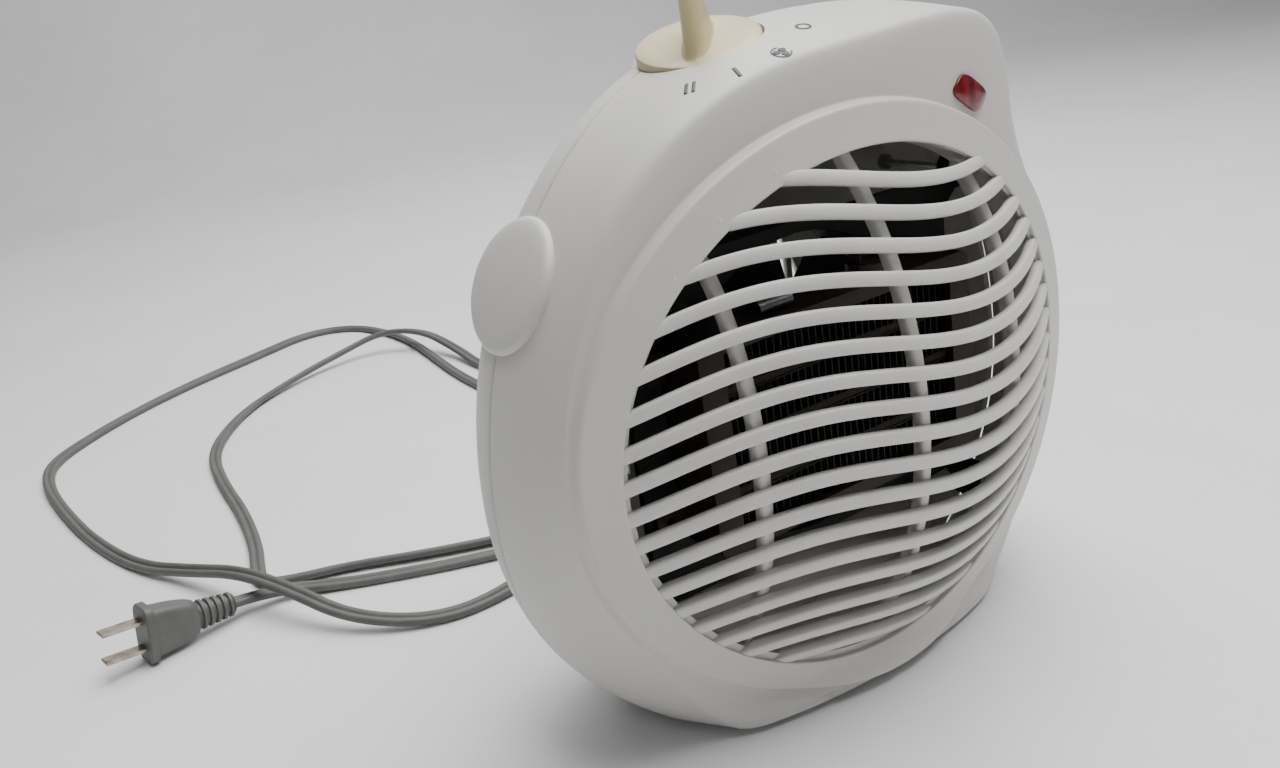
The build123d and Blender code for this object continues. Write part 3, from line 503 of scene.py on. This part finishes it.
front_rings = [
    (47.75, seam_egg - 0.7, 0.0), (47.3, seam_egg - 0.15, 0.0), (46.0, seam_egg, 0.0),
    (36.0, 0.93 * seam_egg + 0.07 * head_outline, 0.15), (25.0, 0.72 * seam_egg + 0.28 * head_outline, 0.45),
    (16.0, 0.4 * seam_egg + 0.6 * head_outline, 0.75), (10.5, 0.14 * seam_egg + 0.86 * head_outline, 0.92),
    (7.0, head_outline, 1.0), (4.4, head_outline - 1.6, 1.0),
    (3.2, 0.6 * head_outline + 0.4 * ring_outline, 1.0),
    (2.9, 0.22 * head_outline + 0.78 * ring_outline, 1.0), (2.8, ring_outline + 0.8, 1.0),
    (2.5, ring_outline + 0.3, 1.0), (1.0, ring_outline, 1.0), (-1.0, ring_outline - 0.2, 1.0),
    (-1.6, ring_outline - 1.0, 1.0), (-1.9, ring_outline - 2.6, 1.0),
    (-2.8, 0.5 * ring_outline + 0.5 * opening_outline, 1.0), (-3.9, opening_outline + 2.0, 1.0),
    (-4.3, opening_outline + 0.7, 1.0), (-4.1, opening_outline + 0.1, 1.0), (-3.0, opening_outline, 1.0),
    (1.0, opening_outline, 1.0), (7.0, opening_outline, 1.0)]
front_depths = np.array([ring[0] for ring in front_rings])[:, None] * np.ones(round_count)
front_radii = np.stack([ring[1] for ring in front_rings])
front_wrap = np.array([ring[2] for ring in front_rings])[:, None]
front_controls = body_points(front_depths, front_radii)
front_controls[..., 1] += front_wrap * wrap_depth * (front_controls[..., 0] / ring_half_width) ** 2
# The apron: low down the face comes forward, most in the middle.
apron_depth = 6.5
apron_half_width = 72
low = np.clip((base_height + 13 - front_controls[..., 2]) / 11, 0, 1)
low = low * low * (3 - 2 * low)
middle = np.clip(1 - (front_controls[..., 0] / apron_half_width) ** 2, 0, 1)
facing = np.clip((20 - front_depths) / 14, 0, 1)
front_controls[..., 1] -= apron_depth * low * middle * facing
front_surface = spline_rows(front_controls, 4)
front_surface[..., 2] = np.maximum(front_surface[..., 2], base_height)
front_shell = mesh_object("front_housing", front_surface.reshape(-1, 3),
                          grid_faces(len(front_surface), round_count, closed_columns=True),
                          housing_plastic, 50)
solid_wall(front_shell, shell_wall)
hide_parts("front_shell")
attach(front_shell, "housing")

# ---------------------------------------------------------------- outlet grille
# Domed grille of wavy bars on three upright ribs, clipped into the ring from behind. Its
# polypropylene is a little whiter than the housing.
bar_pitch = 10.07
bar_height = 4.6
bar_depth = 4.0
bar_wave = 7.5
bar_overrun = 2.2            # the bars' ends run this far into the ring
bar_lift = 4.0               # the bars' middles stand this much above their ends
bar_count = 17
dome_rise = 24.5
dome_edge = -3.6             # bars meet the ring this far in front of its plane
end_half_width = 97.9
end_half_height = 88.7
rib_places = (-59.5, 0.0, 59.5)
rib_steps = 49
rib_width = 4.4
rib_depth = 5.0
rib_sunk = 1.6               # the ribs' middles lie this far behind the bars' backs
rib_fall = 6.0               # and their ends this much further
top_bar = 76.3               # level of the first bar, above the ring's centre
dome_size = (end_half_width ** 2 + dome_rise ** 2) / (2 * dome_rise)


def bar_curve(x):
    """Height of a bar over its level: one sine wave across the opening, over a low arch."""
    turn = math.pi * x / end_half_width
    return -bar_wave * np.sin(turn) + bar_lift * np.cos(turn / 2) - 0.8 * np.cos(1.5 * turn)


def dome_depth(x, z, sunk=0.0):
    """Depth of the dome: an elliptic cap, level with its rim at the ellipse, sunk behind its face."""
    share = np.clip((x / end_half_width) ** 2 + ((z - centre_up) / end_half_height) ** 2, 0, 1)
    reach = end_half_width * np.sqrt(share)
    cap = np.sqrt((dome_size - sunk) ** 2 - reach ** 2) - (dome_size - dome_rise)
    rim = dome_edge + wrap_depth * (x / ring_half_width) ** 2
    return ring_plane + rim - cap


def dome_normal(x, z):
    """Unit normal of the dome by central differences of its depth."""
    step = 0.5
    slope_x = (dome_depth(x + step, z) - dome_depth(x - step, z)) / (2 * step)
    slope_z = (dome_depth(x, z + step) - dome_depth(x, z - step)) / (2 * step)
    normal = np.stack([slope_x, -np.ones_like(x), slope_z], axis=-1)
    return normal / np.linalg.norm(normal, axis=-1, keepdims=True)


grille_plastic, grille_shader = new_material("moulded_polypropylene_grille", IOR=1.49)
# Clean warm white with a slight gloss, dustier in patches.
grille_dust = noise(grille_plastic, 18, 6.0, 0.7)
painted(grille_plastic, grille_shader, grille_dust, "#d6d4cf", "#cbc8c1", 0.45, 0.8)
roughness_between(grille_plastic, grille_shader, grille_dust, 0.32, 0.48)
bump_from(grille_plastic, grille_shader, noise(grille_plastic, 0.5, 2.0), 0.2, 0.02)

grille_parts = []
bar_steps = 61
for bar in range(bar_count):
    level = top_bar - bar * bar_pitch
    x = np.linspace(-end_half_width, end_half_width, 801)
    inside = (x / end_half_width) ** 2 + ((level + bar_curve(x) - centre_up) / end_half_height) ** 2 < 1.0
    x = np.linspace(x[inside][0] - bar_overrun, x[inside][-1] + bar_overrun, bar_steps)
    z = level + bar_curve(x)
    normal = dome_normal(x, z)
    path = np.stack([x, dome_depth(x, z), z + ring_middle], axis=-1)
    path = path - normal * bar_depth / 2
    run = np.gradient(path, axis=0)
    run = run / np.linalg.norm(run, axis=-1, keepdims=True)
    side = np.cross(normal, run)
    grille_parts.append(swept_bar(path, -side, -normal, bar_height, bar_depth))
for rib_x in rib_places:
    half = end_half_height * math.sqrt(1 - (rib_x / end_half_width) ** 2) + 0.5
    z = centre_up + np.linspace(-half, half, rib_steps)
    x = np.full(rib_steps, rib_x)
    normal = dome_normal(x, z)
    path = np.stack([x, dome_depth(x, z), z + ring_middle], axis=-1)
    path = path - normal * (bar_depth + rib_sunk)
    path[:, 1] += rib_fall * ((z - centre_up) / half) ** 4
    across = np.tile([1.0, 0, 0], (rib_steps, 1))
    deep = np.cross(across, np.gradient(path, axis=0))
    deep = deep / np.linalg.norm(deep, axis=-1, keepdims=True)
    grille_parts.append(swept_bar(path, across, deep, rib_width, rib_depth))
grille = mixed_mesh("outlet_grille", grille_parts, grille_plastic, 50)
# The rim inside the opening that joins the bars' ends.
rim_columns = 240
rim_half_width = 97.3
rim_half_height = 88.1
rim_angles = np.linspace(0, 2 * math.pi, rim_columns, endpoint=False)
rim_radii = np.array([1.0, 1.0, 0.975, 0.975])
rim_back = np.array([-2.4, 9.0, 9.0, -2.4])
rim_x = rim_half_width * rim_radii[:, None] * np.cos(rim_angles)
rim_z = rim_half_height * rim_radii[:, None] * np.sin(rim_angles)
rim_y = ring_plane + rim_back[:, None] + wrap_depth * (rim_x / ring_half_width) ** 2
rim_points = np.stack([rim_x, rim_y, rim_z + ring_middle + centre_up], axis=-1)
grille_rim = mesh_object("outlet_rim", rim_points.reshape(-1, 3),
                         grid_faces(len(rim_radii), rim_columns, closed_rows=True, closed_columns=True,
                                    flip=True), grille_plastic)
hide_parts("front_grille")
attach(grille, "housing")
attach(grille_rim, "housing")

# ---------------------------------------------------------------- function switch and knob
# Rotary switch under the top with a cream bat-grip knob pushed on its shaft. The knob
# turns in a round pocket that both halves of the housing share.
knob_radius = 20.5
knob_place = Vector((-21.6, ring_plane + 42.0, ring_middle + 122.0))
knob_lean = math.sin(math.radians(12.0))
knob_axis = Vector((-knob_lean, -knob_lean, math.sqrt(1 - 2 * knob_lean ** 2)))
knob_across = Vector((1, 0, 0.3))
knob_across = (knob_across - knob_axis * knob_across.dot(knob_axis)).normalized()
knob_along = knob_axis.cross(knob_across)
pocket_radius = 21.2
grip_turn = math.radians(43.0)


def turned(profile, place, axis, across, material, name, columns=96, smooth_angle=35):
    """Closed solid of revolution: profile (radius, height) turned round axis through place."""
    profile = np.asarray(profile, dtype=float)
    angle = np.linspace(0, 2 * math.pi, columns, endpoint=False)
    out = np.asarray(across)
    other = np.cross(np.asarray(axis), out)
    ring = np.cos(angle)[:, None] * out + np.sin(angle)[:, None] * other
    points = (np.asarray(place) + profile[:, 0][:, None, None] * ring[None]
              + profile[:, 1][:, None, None] * np.asarray(axis))
    faces = capped_faces(len(profile), columns)
    return mixed_mesh(name, [(points.reshape(-1, 3), faces)], material, smooth_angle)


def carved(piece, cutter):
    """Cuts cutter out of piece, walls included, and keeps only the result."""
    cut = piece.modifiers.new("pocket", "BOOLEAN")
    cut.operation = "DIFFERENCE"
    cut.solver = "FAST"
    cut.object = cutter
    bpy.context.view_layer.update()
    whole = piece.evaluated_get(bpy.context.evaluated_depsgraph_get())
    mesh = bpy.data.meshes.new_from_object(whole)
    piece.modifiers.clear()
    piece.data = mesh
    mesh.set_sharp_from_angle(angle=math.radians(50))


pocket_tool = turned([(pocket_radius, -9.0), (pocket_radius, 14.0)], knob_place, knob_axis, knob_across,
                     housing_plastic, "pocket_tool")
for half_housing in (front_shell, rear_shell):
    carved(half_housing, pocket_tool)
bpy.data.objects.remove(pocket_tool)
pocket_edge = pocket_radius + 0.6
pocket_floor = turned([(3.6, -4.2), (pocket_edge, -4.2), (pocket_edge, -2.1), (3.6, -2.1), (3.6, -4.2)],
                      knob_place, knob_axis, knob_across, housing_plastic, "knob_pocket")
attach(pocket_floor, "housing")

knob_plastic, knob_shader = new_material("urea_moulded_cream", IOR=1.5)
# Cream moulding, yellower than the housing, with a soft sheen from fingers.
knob_age = noise(knob_plastic, 16, 4.0, 0.6)
painted(knob_plastic, knob_shader, knob_age, "#d2c79e", "#c6ba8a")
roughness_between(knob_plastic, knob_shader, knob_age, 0.3, 0.45)
bump_from(knob_plastic, knob_shader, noise(knob_plastic, 0.6, 2.0), 0.15, 0.02)
knob_disc = turned([(0.01, -1.65), (19.9, -1.65), (knob_radius, -1.2), (knob_radius, 1.5), (20.2, 2.3),
                    (19.3, 2.75), (16.0, 2.9), (0.01, 3.0)],
                   knob_place, knob_axis, knob_across, knob_plastic, "knob_disc")
grip_heights = np.array([2.2, 2.9, 3.8, 5.5, 9.0, 14.0, 19.0, 23.5, 26.5, 28.0, 28.7, 29.0])
grip_lengths = np.array([37.0, 34.2, 32.6, 31.0, 28.6, 25.6, 22.4, 19.4, 16.8, 14.2, 10.5, 0.4])
grip_widths = np.array([12.0, 9.6, 8.6, 8.0, 7.4, 6.8, 6.2, 5.7, 5.2, 4.3, 2.8, 0.2])
grip_shift = np.array([0, 0, 0, 0, -0.6, -1.6, -2.8, -3.9, -4.8, -5.3, -5.5, -5.6])
grip_angle = np.linspace(0, 2 * math.pi, 64, endpoint=False)
grip_u = grip_shift[:, None] + grip_lengths[:, None] / 2 * squared(np.cos(grip_angle), 0.8)
grip_v = grip_widths[:, None] / 2 * squared(np.sin(grip_angle), 0.8)
grip_long = np.asarray(knob_across * math.cos(grip_turn) + knob_along * math.sin(grip_turn))
grip_wide = np.asarray(knob_along * math.cos(grip_turn) - knob_across * math.sin(grip_turn))
grip_points = (np.asarray(knob_place) + grip_u[..., None] * grip_long + grip_v[..., None] * grip_wide
               + grip_heights[:, None, None] * np.asarray(knob_axis))
grip_points = spline_rows(grip_points, 4)
grip_faces = capped_faces(len(grip_points), len(grip_angle))
knob_grip = mixed_mesh("knob_grip", [(grip_points.reshape(-1, 3), grip_faces)], knob_plastic)
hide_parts("function_knob")
for knob_piece in (knob_disc, knob_grip):
    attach(knob_piece, "knob")

tab_brass, tab_shader = new_material("tinned_brass", Metallic=1.0)
# Pale tinned brass, a little tarnished.
tarnish = noise(tab_brass, 5, 5.0)
painted(tab_brass, tab_shader, tarnish, "#8f8672", "#c6c0b2")
roughness_between(tab_brass, tab_shader, tarnish, 0.2, 0.42)
bump_from(tab_brass, tab_shader, noise(tab_brass, 0.7, 2.0, 0.5, (0.2, 1, 1)), 0.15, 0.01)
dress(["switch_tabs"], tab_brass)

# ---------------------------------------------------------------- dial marks
# Pad-printed grey ink on the head: off, fan only and two heat settings round the knob.
ink, ink_shader = new_material("pad_print_ink_grey")
# Thin dark grey ink that breaks up a little at its edges.
ink_wear = noise(ink, 1.5, 4.0)
painted(ink, ink_shader, ink_wear, "#3a3a3c", "#5b5b5d")
roughness_between(ink, ink_shader, ink_wear, 0.4, 0.55)
bump_from(ink, ink_shader, ink_wear, 0.1, 0.02)
mark_circle = 33.0
mark_scale = 1.2
ink_film = 0.18
ink_lift = 0.1               # the film's middle above the plastic
front_tree = BVHTree.FromObject(front_shell, bpy.context.evaluated_depsgraph_get())


def flat_patch(u, v):
    """Grid patch of a mark: two arrays of the same shape, tangential and radial."""
    return np.stack([u, v], axis=-1), grid_faces(*u.shape)


def stroke(middle, width, height):
    """Upright stroke, its middle that far along the tangent."""
    u, v = np.meshgrid(middle + np.linspace(-width / 2, width / 2, 3),
                       np.linspace(-height / 2, height / 2, 7))
    return flat_patch(u, v)


def annulus(inner, outer, middle=(0, 0), start=0.0, end=2 * math.pi, count=33):
    """Ring or sector between two radii."""
    radius, angle = np.meshgrid(np.linspace(inner, outer, 3), np.linspace(start, end, count))
    return flat_patch(middle[0] + radius * np.cos(angle), middle[1] + radius * np.sin(angle))


blades = [annulus(0.05, 1.0, (1.25 * math.cos(a), 1.25 * math.sin(a))) for a in np.radians((90, 210, 330))]
marks_round_dial = (
    ("mark_off", -42.0, [annulus(1.5, 2.2)]),
    ("mark_fan", -80.0, blades + [annulus(2.35, 2.75, (0, 0), 0.6, 5.2)]),
    ("mark_low", -109.0, [stroke(0, 1.0, 4.6)]),
    ("mark_high", -134.0, [stroke(-0.95, 0.9, 4.2), stroke(0.95, 0.9, 4.2)]))
for mark_name, mark_degrees, patches in marks_round_dial:
    out_angle = math.radians(mark_degrees)
    radial = np.array([math.cos(out_angle), math.sin(out_angle)])
    tangent = np.array([-radial[1], radial[0]])
    placed = []
    for patch, patch_faces in patches:
        flat = patch.reshape(-1, 2) * mark_scale
        spots = np.array(knob_place[:2]) + radial * mark_circle + flat[:, :1] * tangent + flat[:, 1:] * radial
        hits = [front_tree.ray_cast(Vector((spot_x / 1000, spot_y / 1000, 0.4)), Vector((0, 0, -1)))[0]
                for spot_x, spot_y in spots]
        points = np.array([list(hit) for hit in hits]) * 1000 + np.array([0, 0, ink_lift])
        placed.append((points, patch_faces.tolist()))
    mark = mixed_mesh(mark_name, placed, ink)
    mark_film = mark.modifiers.new("film", "SOLIDIFY")
    mark_film.thickness = ink_film / 1000
    mark_film.offset = 0
    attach(mark, "housing")

# ---------------------------------------------------------------- mains lamp
# Dark red acrylic window, pressed into the right shoulder of the head, over a neon bulb.
lens_length = 17.0
lens_height = 9.4
lens_slant = 0.22
lens_aim = Vector((0.35, -0.62, 0.7)).normalized()
lens_near = Vector((61.0, ring_plane + 6.0, ring_middle + 93.0))
hit_place, hit_normal, _, _ = front_tree.ray_cast((lens_near + lens_aim * 60) / 1000, -lens_aim)
lens_middle = np.array(hit_place) * 1000
lens_out = np.array(hit_normal)
lens_long = np.array([0.8, 0.05, -0.55])
lens_long = lens_long - lens_out * lens_long.dot(lens_out)
lens_long = lens_long / np.linalg.norm(lens_long)
lens_tall = np.cross(lens_out, lens_long)
lens_angle = np.linspace(0, 2 * math.pi, 72, endpoint=False)
lens_u = squared(np.cos(lens_angle), 0.5)
lens_v = squared(np.sin(lens_angle), 0.5)
lens_scale = np.array([1.0, 1.0, 1.0, 0.97, 0.88, 0.55, 0.2, 0.01])
lens_levels = np.array([-5.0, -2.0, 0.5, 1.1, 1.45, 1.65, 1.7, 1.7])
lens_x = lens_scale[:, None] * (lens_u * lens_length / 2 + lens_slant * lens_v * lens_height / 2)
lens_y = lens_scale[:, None] * lens_v * lens_height / 2
lens_points = (lens_middle + lens_x[..., None] * lens_long + lens_y[..., None] * lens_tall
               + (lens_levels[:, None] - lens_x ** 2 / 170)[..., None] * lens_out)
red_acrylic, acrylic_shader = new_material("acrylic_ruby_red", Roughness=0.12, IOR=1.49, Coat_Weight=0.5,
                                           Coat_Roughness=0.05)
# Deep red, almost black where it is thick, with upright prism ribs behind a glossy face.
prism = noise(red_acrylic, 3.2, 1.0, 0.3, (1, 1, 0.15))
painted(red_acrylic, acrylic_shader, prism, "#4a040d", "#820c1c")
bump_from(red_acrylic, acrylic_shader, prism, 0.12, 0.15)
lens_faces = capped_faces(len(lens_levels), len(lens_angle))
lens = mixed_mesh("lamp_window", [(lens_points.reshape(-1, 3), lens_faces)], red_acrylic)
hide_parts("indicator_lens")
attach(lens, "housing")
bulb_glass, bulb_shader = new_material("neon_bulb_glass", Roughness=0.08, IOR=1.5)
# Clear soda glass with an orange-grey electrode haze.
painted(bulb_glass, bulb_shader, noise(bulb_glass, 2.0), "#8a5a44", "#b98a72")
dress(["neon_lamp"], bulb_glass)

# ---------------------------------------------------------------- side caps
# Round polypropylene caps snapped over the seam on both shoulders. They follow the
# body's curve and stand a little proud of it.
cap_radius = 22.0
cap_level = 64.0
egg_rise = egg_top - egg_widest
cap_share = (cap_level - egg_widest) / egg_rise
cap_x = body_half_width * math.sqrt(1 - cap_share ** 2)
cap_slope = math.atan2(cap_share / egg_rise, cap_x / body_half_width ** 2)
cap_curve = 2 * 118.0        # twice the radius that the cap's face is curved to
cap_rings = np.array([(0.01, 2.5), (8, 2.5), (16, 2.45), (19.8, 2.3), (21.2, 1.9), (21.9, 1.1),
                      (cap_radius, 0.2), (cap_radius, -3.0)])
cap_columns = 120
cap_angle = np.linspace(0, 2 * math.pi, cap_columns, endpoint=False)
for cap_name, side in (("side_cap_left", -1), ("side_cap_right", 1)):
    cap_out = np.array([side * math.cos(cap_slope), 0, math.sin(cap_slope)])
    cap_up = np.array([-side * math.sin(cap_slope), 0, math.cos(cap_slope)])
    cap_middle = np.array([side * cap_x, ring_plane + seam_depth, ring_middle + cap_level])
    cap_w = cap_rings[:, :1] * np.sin(cap_angle)
    cap_d = cap_rings[:, :1] * np.cos(cap_angle)
    cap_h = cap_rings[:, 1:] - cap_w ** 2 / cap_curve - cap_d ** 2 / (3.2 * cap_curve)
    cap_points = (cap_middle + cap_w[..., None] * cap_up + cap_d[..., None] * np.array([0, 1.0, 0])
                  + cap_h[..., None] * cap_out)
    cap_faces = grid_faces(len(cap_rings), cap_columns, closed_columns=True, flip=side < 0).tolist()
    last_ring = (len(cap_rings) - 1) * cap_columns
    ends = [list(range(cap_columns)), list(range(last_ring, last_ring + cap_columns))[::-1]]
    if side < 0:
        ends = [end[::-1] for end in ends]
    cap = mixed_mesh("cap_" + cap_name[9:], [(cap_points.reshape(-1, 3), cap_faces + ends)], housing_plastic)
    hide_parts(cap_name)
    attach(cap, "housing")

# ---------------------------------------------------------------- feet
# Moulded rubber pads pushed into the base.
foot_rubber, rubber_shader = new_material("nitrile_rubber_black", Specular_IOR_Level=0.3)
# Black rubber greyed by dust.
rubber_dust = noise(foot_rubber, 4, 4.0)
painted(foot_rubber, rubber_shader, rubber_dust, "#141414", "#2e2d2b")
roughness_between(foot_rubber, rubber_shader, rubber_dust, 0.65, 0.9)
bump_from(foot_rubber, rubber_shader, rubber_dust, 0.3, 0.05)
dress(["rubber_feet"], foot_rubber)

# ---------------------------------------------------------------- mains cord
# Flat two-core vinyl cord with a groove down its middle, from a tapered gland in the back
# to a moulded plug. It lies in two loose loops on the table.
cord_width = 7.2
cord_thickness = 3.9
cord_axis = 3.5              # height of the round stand-in's axis on the table
bridge = 16.5
gland_across = -5.0
gland_height = 27.0
gland_length = 22.0
gland_tip = back_face + gland_length
lead_run = 20.0              # the cord's last straight run, into the plug
plug_tip = Vector((-174.0, 201.0, 8.0))
plug_turn = math.radians(10.0)
plug_tilt = math.radians(8.0)
plug_axis = Vector((-math.cos(plug_turn) * math.cos(plug_tilt), -math.sin(plug_turn) * math.cos(plug_tilt),
                    math.sin(plug_tilt)))
lead_end = plug_tip - plug_axis * lead_run
# Points without a height lie on the table.
cord_points = [
    (gland_across, gland_tip, gland_height), (gland_across, gland_tip + 21, gland_height), (-19, 124, 17),
    (-46, 131, 6.5), (-74, 121), (-108, 122), (-138, 146, 8), (-154, 180, bridge), (-166, 214, bridge),
    (-180, 252, 8), (-199, 290), (-211, 345), (-217, 410), (-218, 458), (-211, 496), (-184, 526),
    (-143, 558), (-95, 583), (-42, 603), (4, 623), (38, 606), (50, 566), (53, 520), (48, 470), (40, 400),
    (42, 320), (50, 250), (40, 195), (6, 163), (-36, 160), (-82, 180), (-118, 202), (-142, 211),
    (-157, 220), (-153, 238), (-146, 264), (-139, 312), (-136, 362), (-129, 412), (-110, 452), (-80, 488),
    (-38, 513, 5), (0, 524, 9), (32, 521, bridge), (54, 494, bridge), (62, 455, 8), (60, 410), (66, 340),
    (70, 270), (66, 210), (50, 160), (8, 140), (-40, 147), (-84, 165), (-128, 188),
    tuple(lead_end), tuple(plug_tip)]
cord_points = [(*point, cord_axis)[:3] for point in cord_points]
cord_curve = bpy.data.curves.new("cord_route", "CURVE")
cord_curve.dimensions = "3D"
cord_curve.resolution_u = 16
route = cord_curve.splines.new("NURBS")
route.points.add(len(cord_points) - 1)
route_rows = np.column_stack([np.array(cord_points) / 1000, np.ones(len(cord_points))])
route.points.foreach_set("co", route_rows.ravel())
route.order_u = 3
route.use_endpoint_u = True
route_object = bpy.data.objects.new("cord_route", cord_curve)
bpy.context.collection.objects.link(route_object)
route_mesh = bpy.data.meshes.new_from_object(route_object)
followed = np.empty(len(route_mesh.vertices) * 3)
route_mesh.vertices.foreach_get("co", followed)
followed = followed.reshape(-1, 3) * 1000
bpy.data.objects.remove(route_object)

# The cord rolls a little as it goes, and sits on its lower edge wherever it lies.
cord_run = np.gradient(followed, axis=0)
cord_run = cord_run / np.linalg.norm(cord_run, axis=-1, keepdims=True)
travelled = np.concatenate([[0], np.cumsum(np.linalg.norm(np.diff(followed, axis=0), axis=-1))])
roll = 0.35 * np.sin(travelled / 130.0) + 0.22 * np.sin(travelled / 47.0 + 1.0)
ends_fade = np.clip(np.minimum(travelled, travelled[-1] - travelled) / 60.0, 0, 1)
roll = roll * ends_fade
flat_way = np.cross(cord_run, np.array([0, 0, 1.0]))
flat_way = flat_way / np.linalg.norm(flat_way, axis=-1, keepdims=True)
thin_way = np.cross(flat_way, cord_run)
wide = flat_way * np.cos(roll)[:, None] + thin_way * np.sin(roll)[:, None]
thin = thin_way * np.cos(roll)[:, None] - flat_way * np.sin(roll)[:, None]
half_tall = (cord_width - cord_thickness) / 2 * np.abs(np.sin(roll)) + cord_thickness / 2
cord_middle = followed.copy()
cord_middle[:, 2] -= (cord_axis - half_tall) * ends_fade
core_angle = np.linspace(0, 2 * math.pi, 28, endpoint=False)
# Two round cores side by side: the half thickness dips at the middle, where they join.
section_wide = cord_width / 2 * np.cos(core_angle)
core_offset = np.abs(section_wide) - (cord_width - cord_thickness) / 2
core_rise = np.sqrt(np.maximum((cord_thickness / 2) ** 2 - core_offset ** 2, 0))
section_thin = np.sign(np.sin(core_angle)) * core_rise
tube = (cord_middle[:, None] + section_wide[None, :, None] * wide[:, None]
        + section_thin[None, :, None] * thin[:, None])
tube_faces = capped_faces(len(tube), len(core_angle))
cord_vinyl, vinyl_shader = new_material("plasticised_vinyl_grey", IOR=1.5)
# Mid grey soft vinyl with a low sheen, dusty where it has lain on the floor.
vinyl_dust = noise(cord_vinyl, 12, 5.0, 0.65)
painted(cord_vinyl, vinyl_shader, vinyl_dust, "#52524f", "#5f5f5b")
roughness_between(cord_vinyl, vinyl_shader, vinyl_dust, 0.42, 0.62)
bump_from(cord_vinyl, vinyl_shader, noise(cord_vinyl, 0.8, 3.0), 0.25, 0.04)
cord = mixed_mesh("mains_cord", [(tube.reshape(-1, 3), tube_faces)], cord_vinyl, 60)

# Gland: tapered and ribbed, moulded on the cord and gripped by the back wall.
gland_profile = [(0.5, -12.0), (5.4, -12.0), (5.4, 0.2), (7.3, 0.3), (7.4, 2.2), (6.9, 2.7), (5.4, 2.8)]
for rib in range(5):
    rib_start = 3.4 + rib * 3.3
    core = 5.2 - 0.24 * rib
    gland_profile += [(core - 0.7, rib_start), (core, rib_start + 0.5), (core, rib_start + 2.2),
                      (core - 0.7, rib_start + 2.7)]
gland_profile += [(3.9, 20.6), (3.9, 21.8), (3.4, 22.0), (0.5, 22.0)]
gland = turned(gland_profile, (gland_across, back_face, gland_height), (0, 1, 0), (1, 0, 0), cord_vinyl,
               "cord_relief", 48, 50)

# Plug: flat-sided body that widens to a finger flange, with a ribbed tail.
plug_reach = [0.0, 0.0, 0.8]
plug_half_tall = [0.5, 4.2, 4.9]
plug_half_wide = [0.4, 3.6, 4.2]
for rib in range(5):
    rib_start = 1.2 + rib * 3.2
    grow = 0.28 * rib
    plug_reach += [rib_start, rib_start + 0.3, rib_start + 1.6, rib_start + 1.9, rib_start + 3.0]
    plug_half_tall += [4.4 + grow, 5.7 + grow, 5.7 + grow, 4.4 + grow, 4.4 + grow]
    plug_half_wide += [3.8 + grow, 5.0 + grow, 5.0 + grow, 3.8 + grow, 3.8 + grow]
plug_reach += [17.4, 18.2, 21.0, 26.0, 31.0, 35.0, 36.6, 37.0, 37.4, 40.3, 41.0, 41.0]
plug_half_tall += [6.8, 7.8, 8.8, 9.8, 10.6, 11.0, 11.2, 12.6, 13.0, 13.0, 12.4, 0.5]
plug_half_wide += [5.2, 5.9, 6.2, 6.3, 6.4, 6.5, 6.6, 7.6, 8.0, 8.0, 7.4, 0.4]
plug_reach = np.array(plug_reach)
plug_angle = np.linspace(0, 2 * math.pi, 64, endpoint=False)
boxy = np.clip((plug_reach - 15) / 8, 0, 1)[:, None]
power = 1.0 - 0.55 * boxy
plug_c = squared(np.cos(plug_angle), power)
plug_s = squared(np.sin(plug_angle), power)
plug_upright = Vector((0, 0, 1)) - plug_axis * plug_axis.z
plug_upright.normalize()
plug_side = plug_axis.cross(plug_upright)
plug_points = (np.array(plug_tip) + plug_reach[:, None, None] * np.array(plug_axis)
               + (np.array(plug_half_tall)[:, None] * plug_c)[..., None] * np.array(plug_upright)
               + (np.array(plug_half_wide)[:, None] * plug_s)[..., None] * np.array(plug_side))
plug_faces = capped_faces(len(plug_reach), len(plug_angle))
plug = mixed_mesh("plug_moulding", [(plug_points.reshape(-1, 3), plug_faces)], cord_vinyl, 40)
dress(["plug_blades"], tab_brass)
for cord_piece, cad_node in ((cord, "power_cord"), (gland, "cord_gland"), (plug, "plug_body")):
    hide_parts(cad_node)
    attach(cord_piece, "housing")
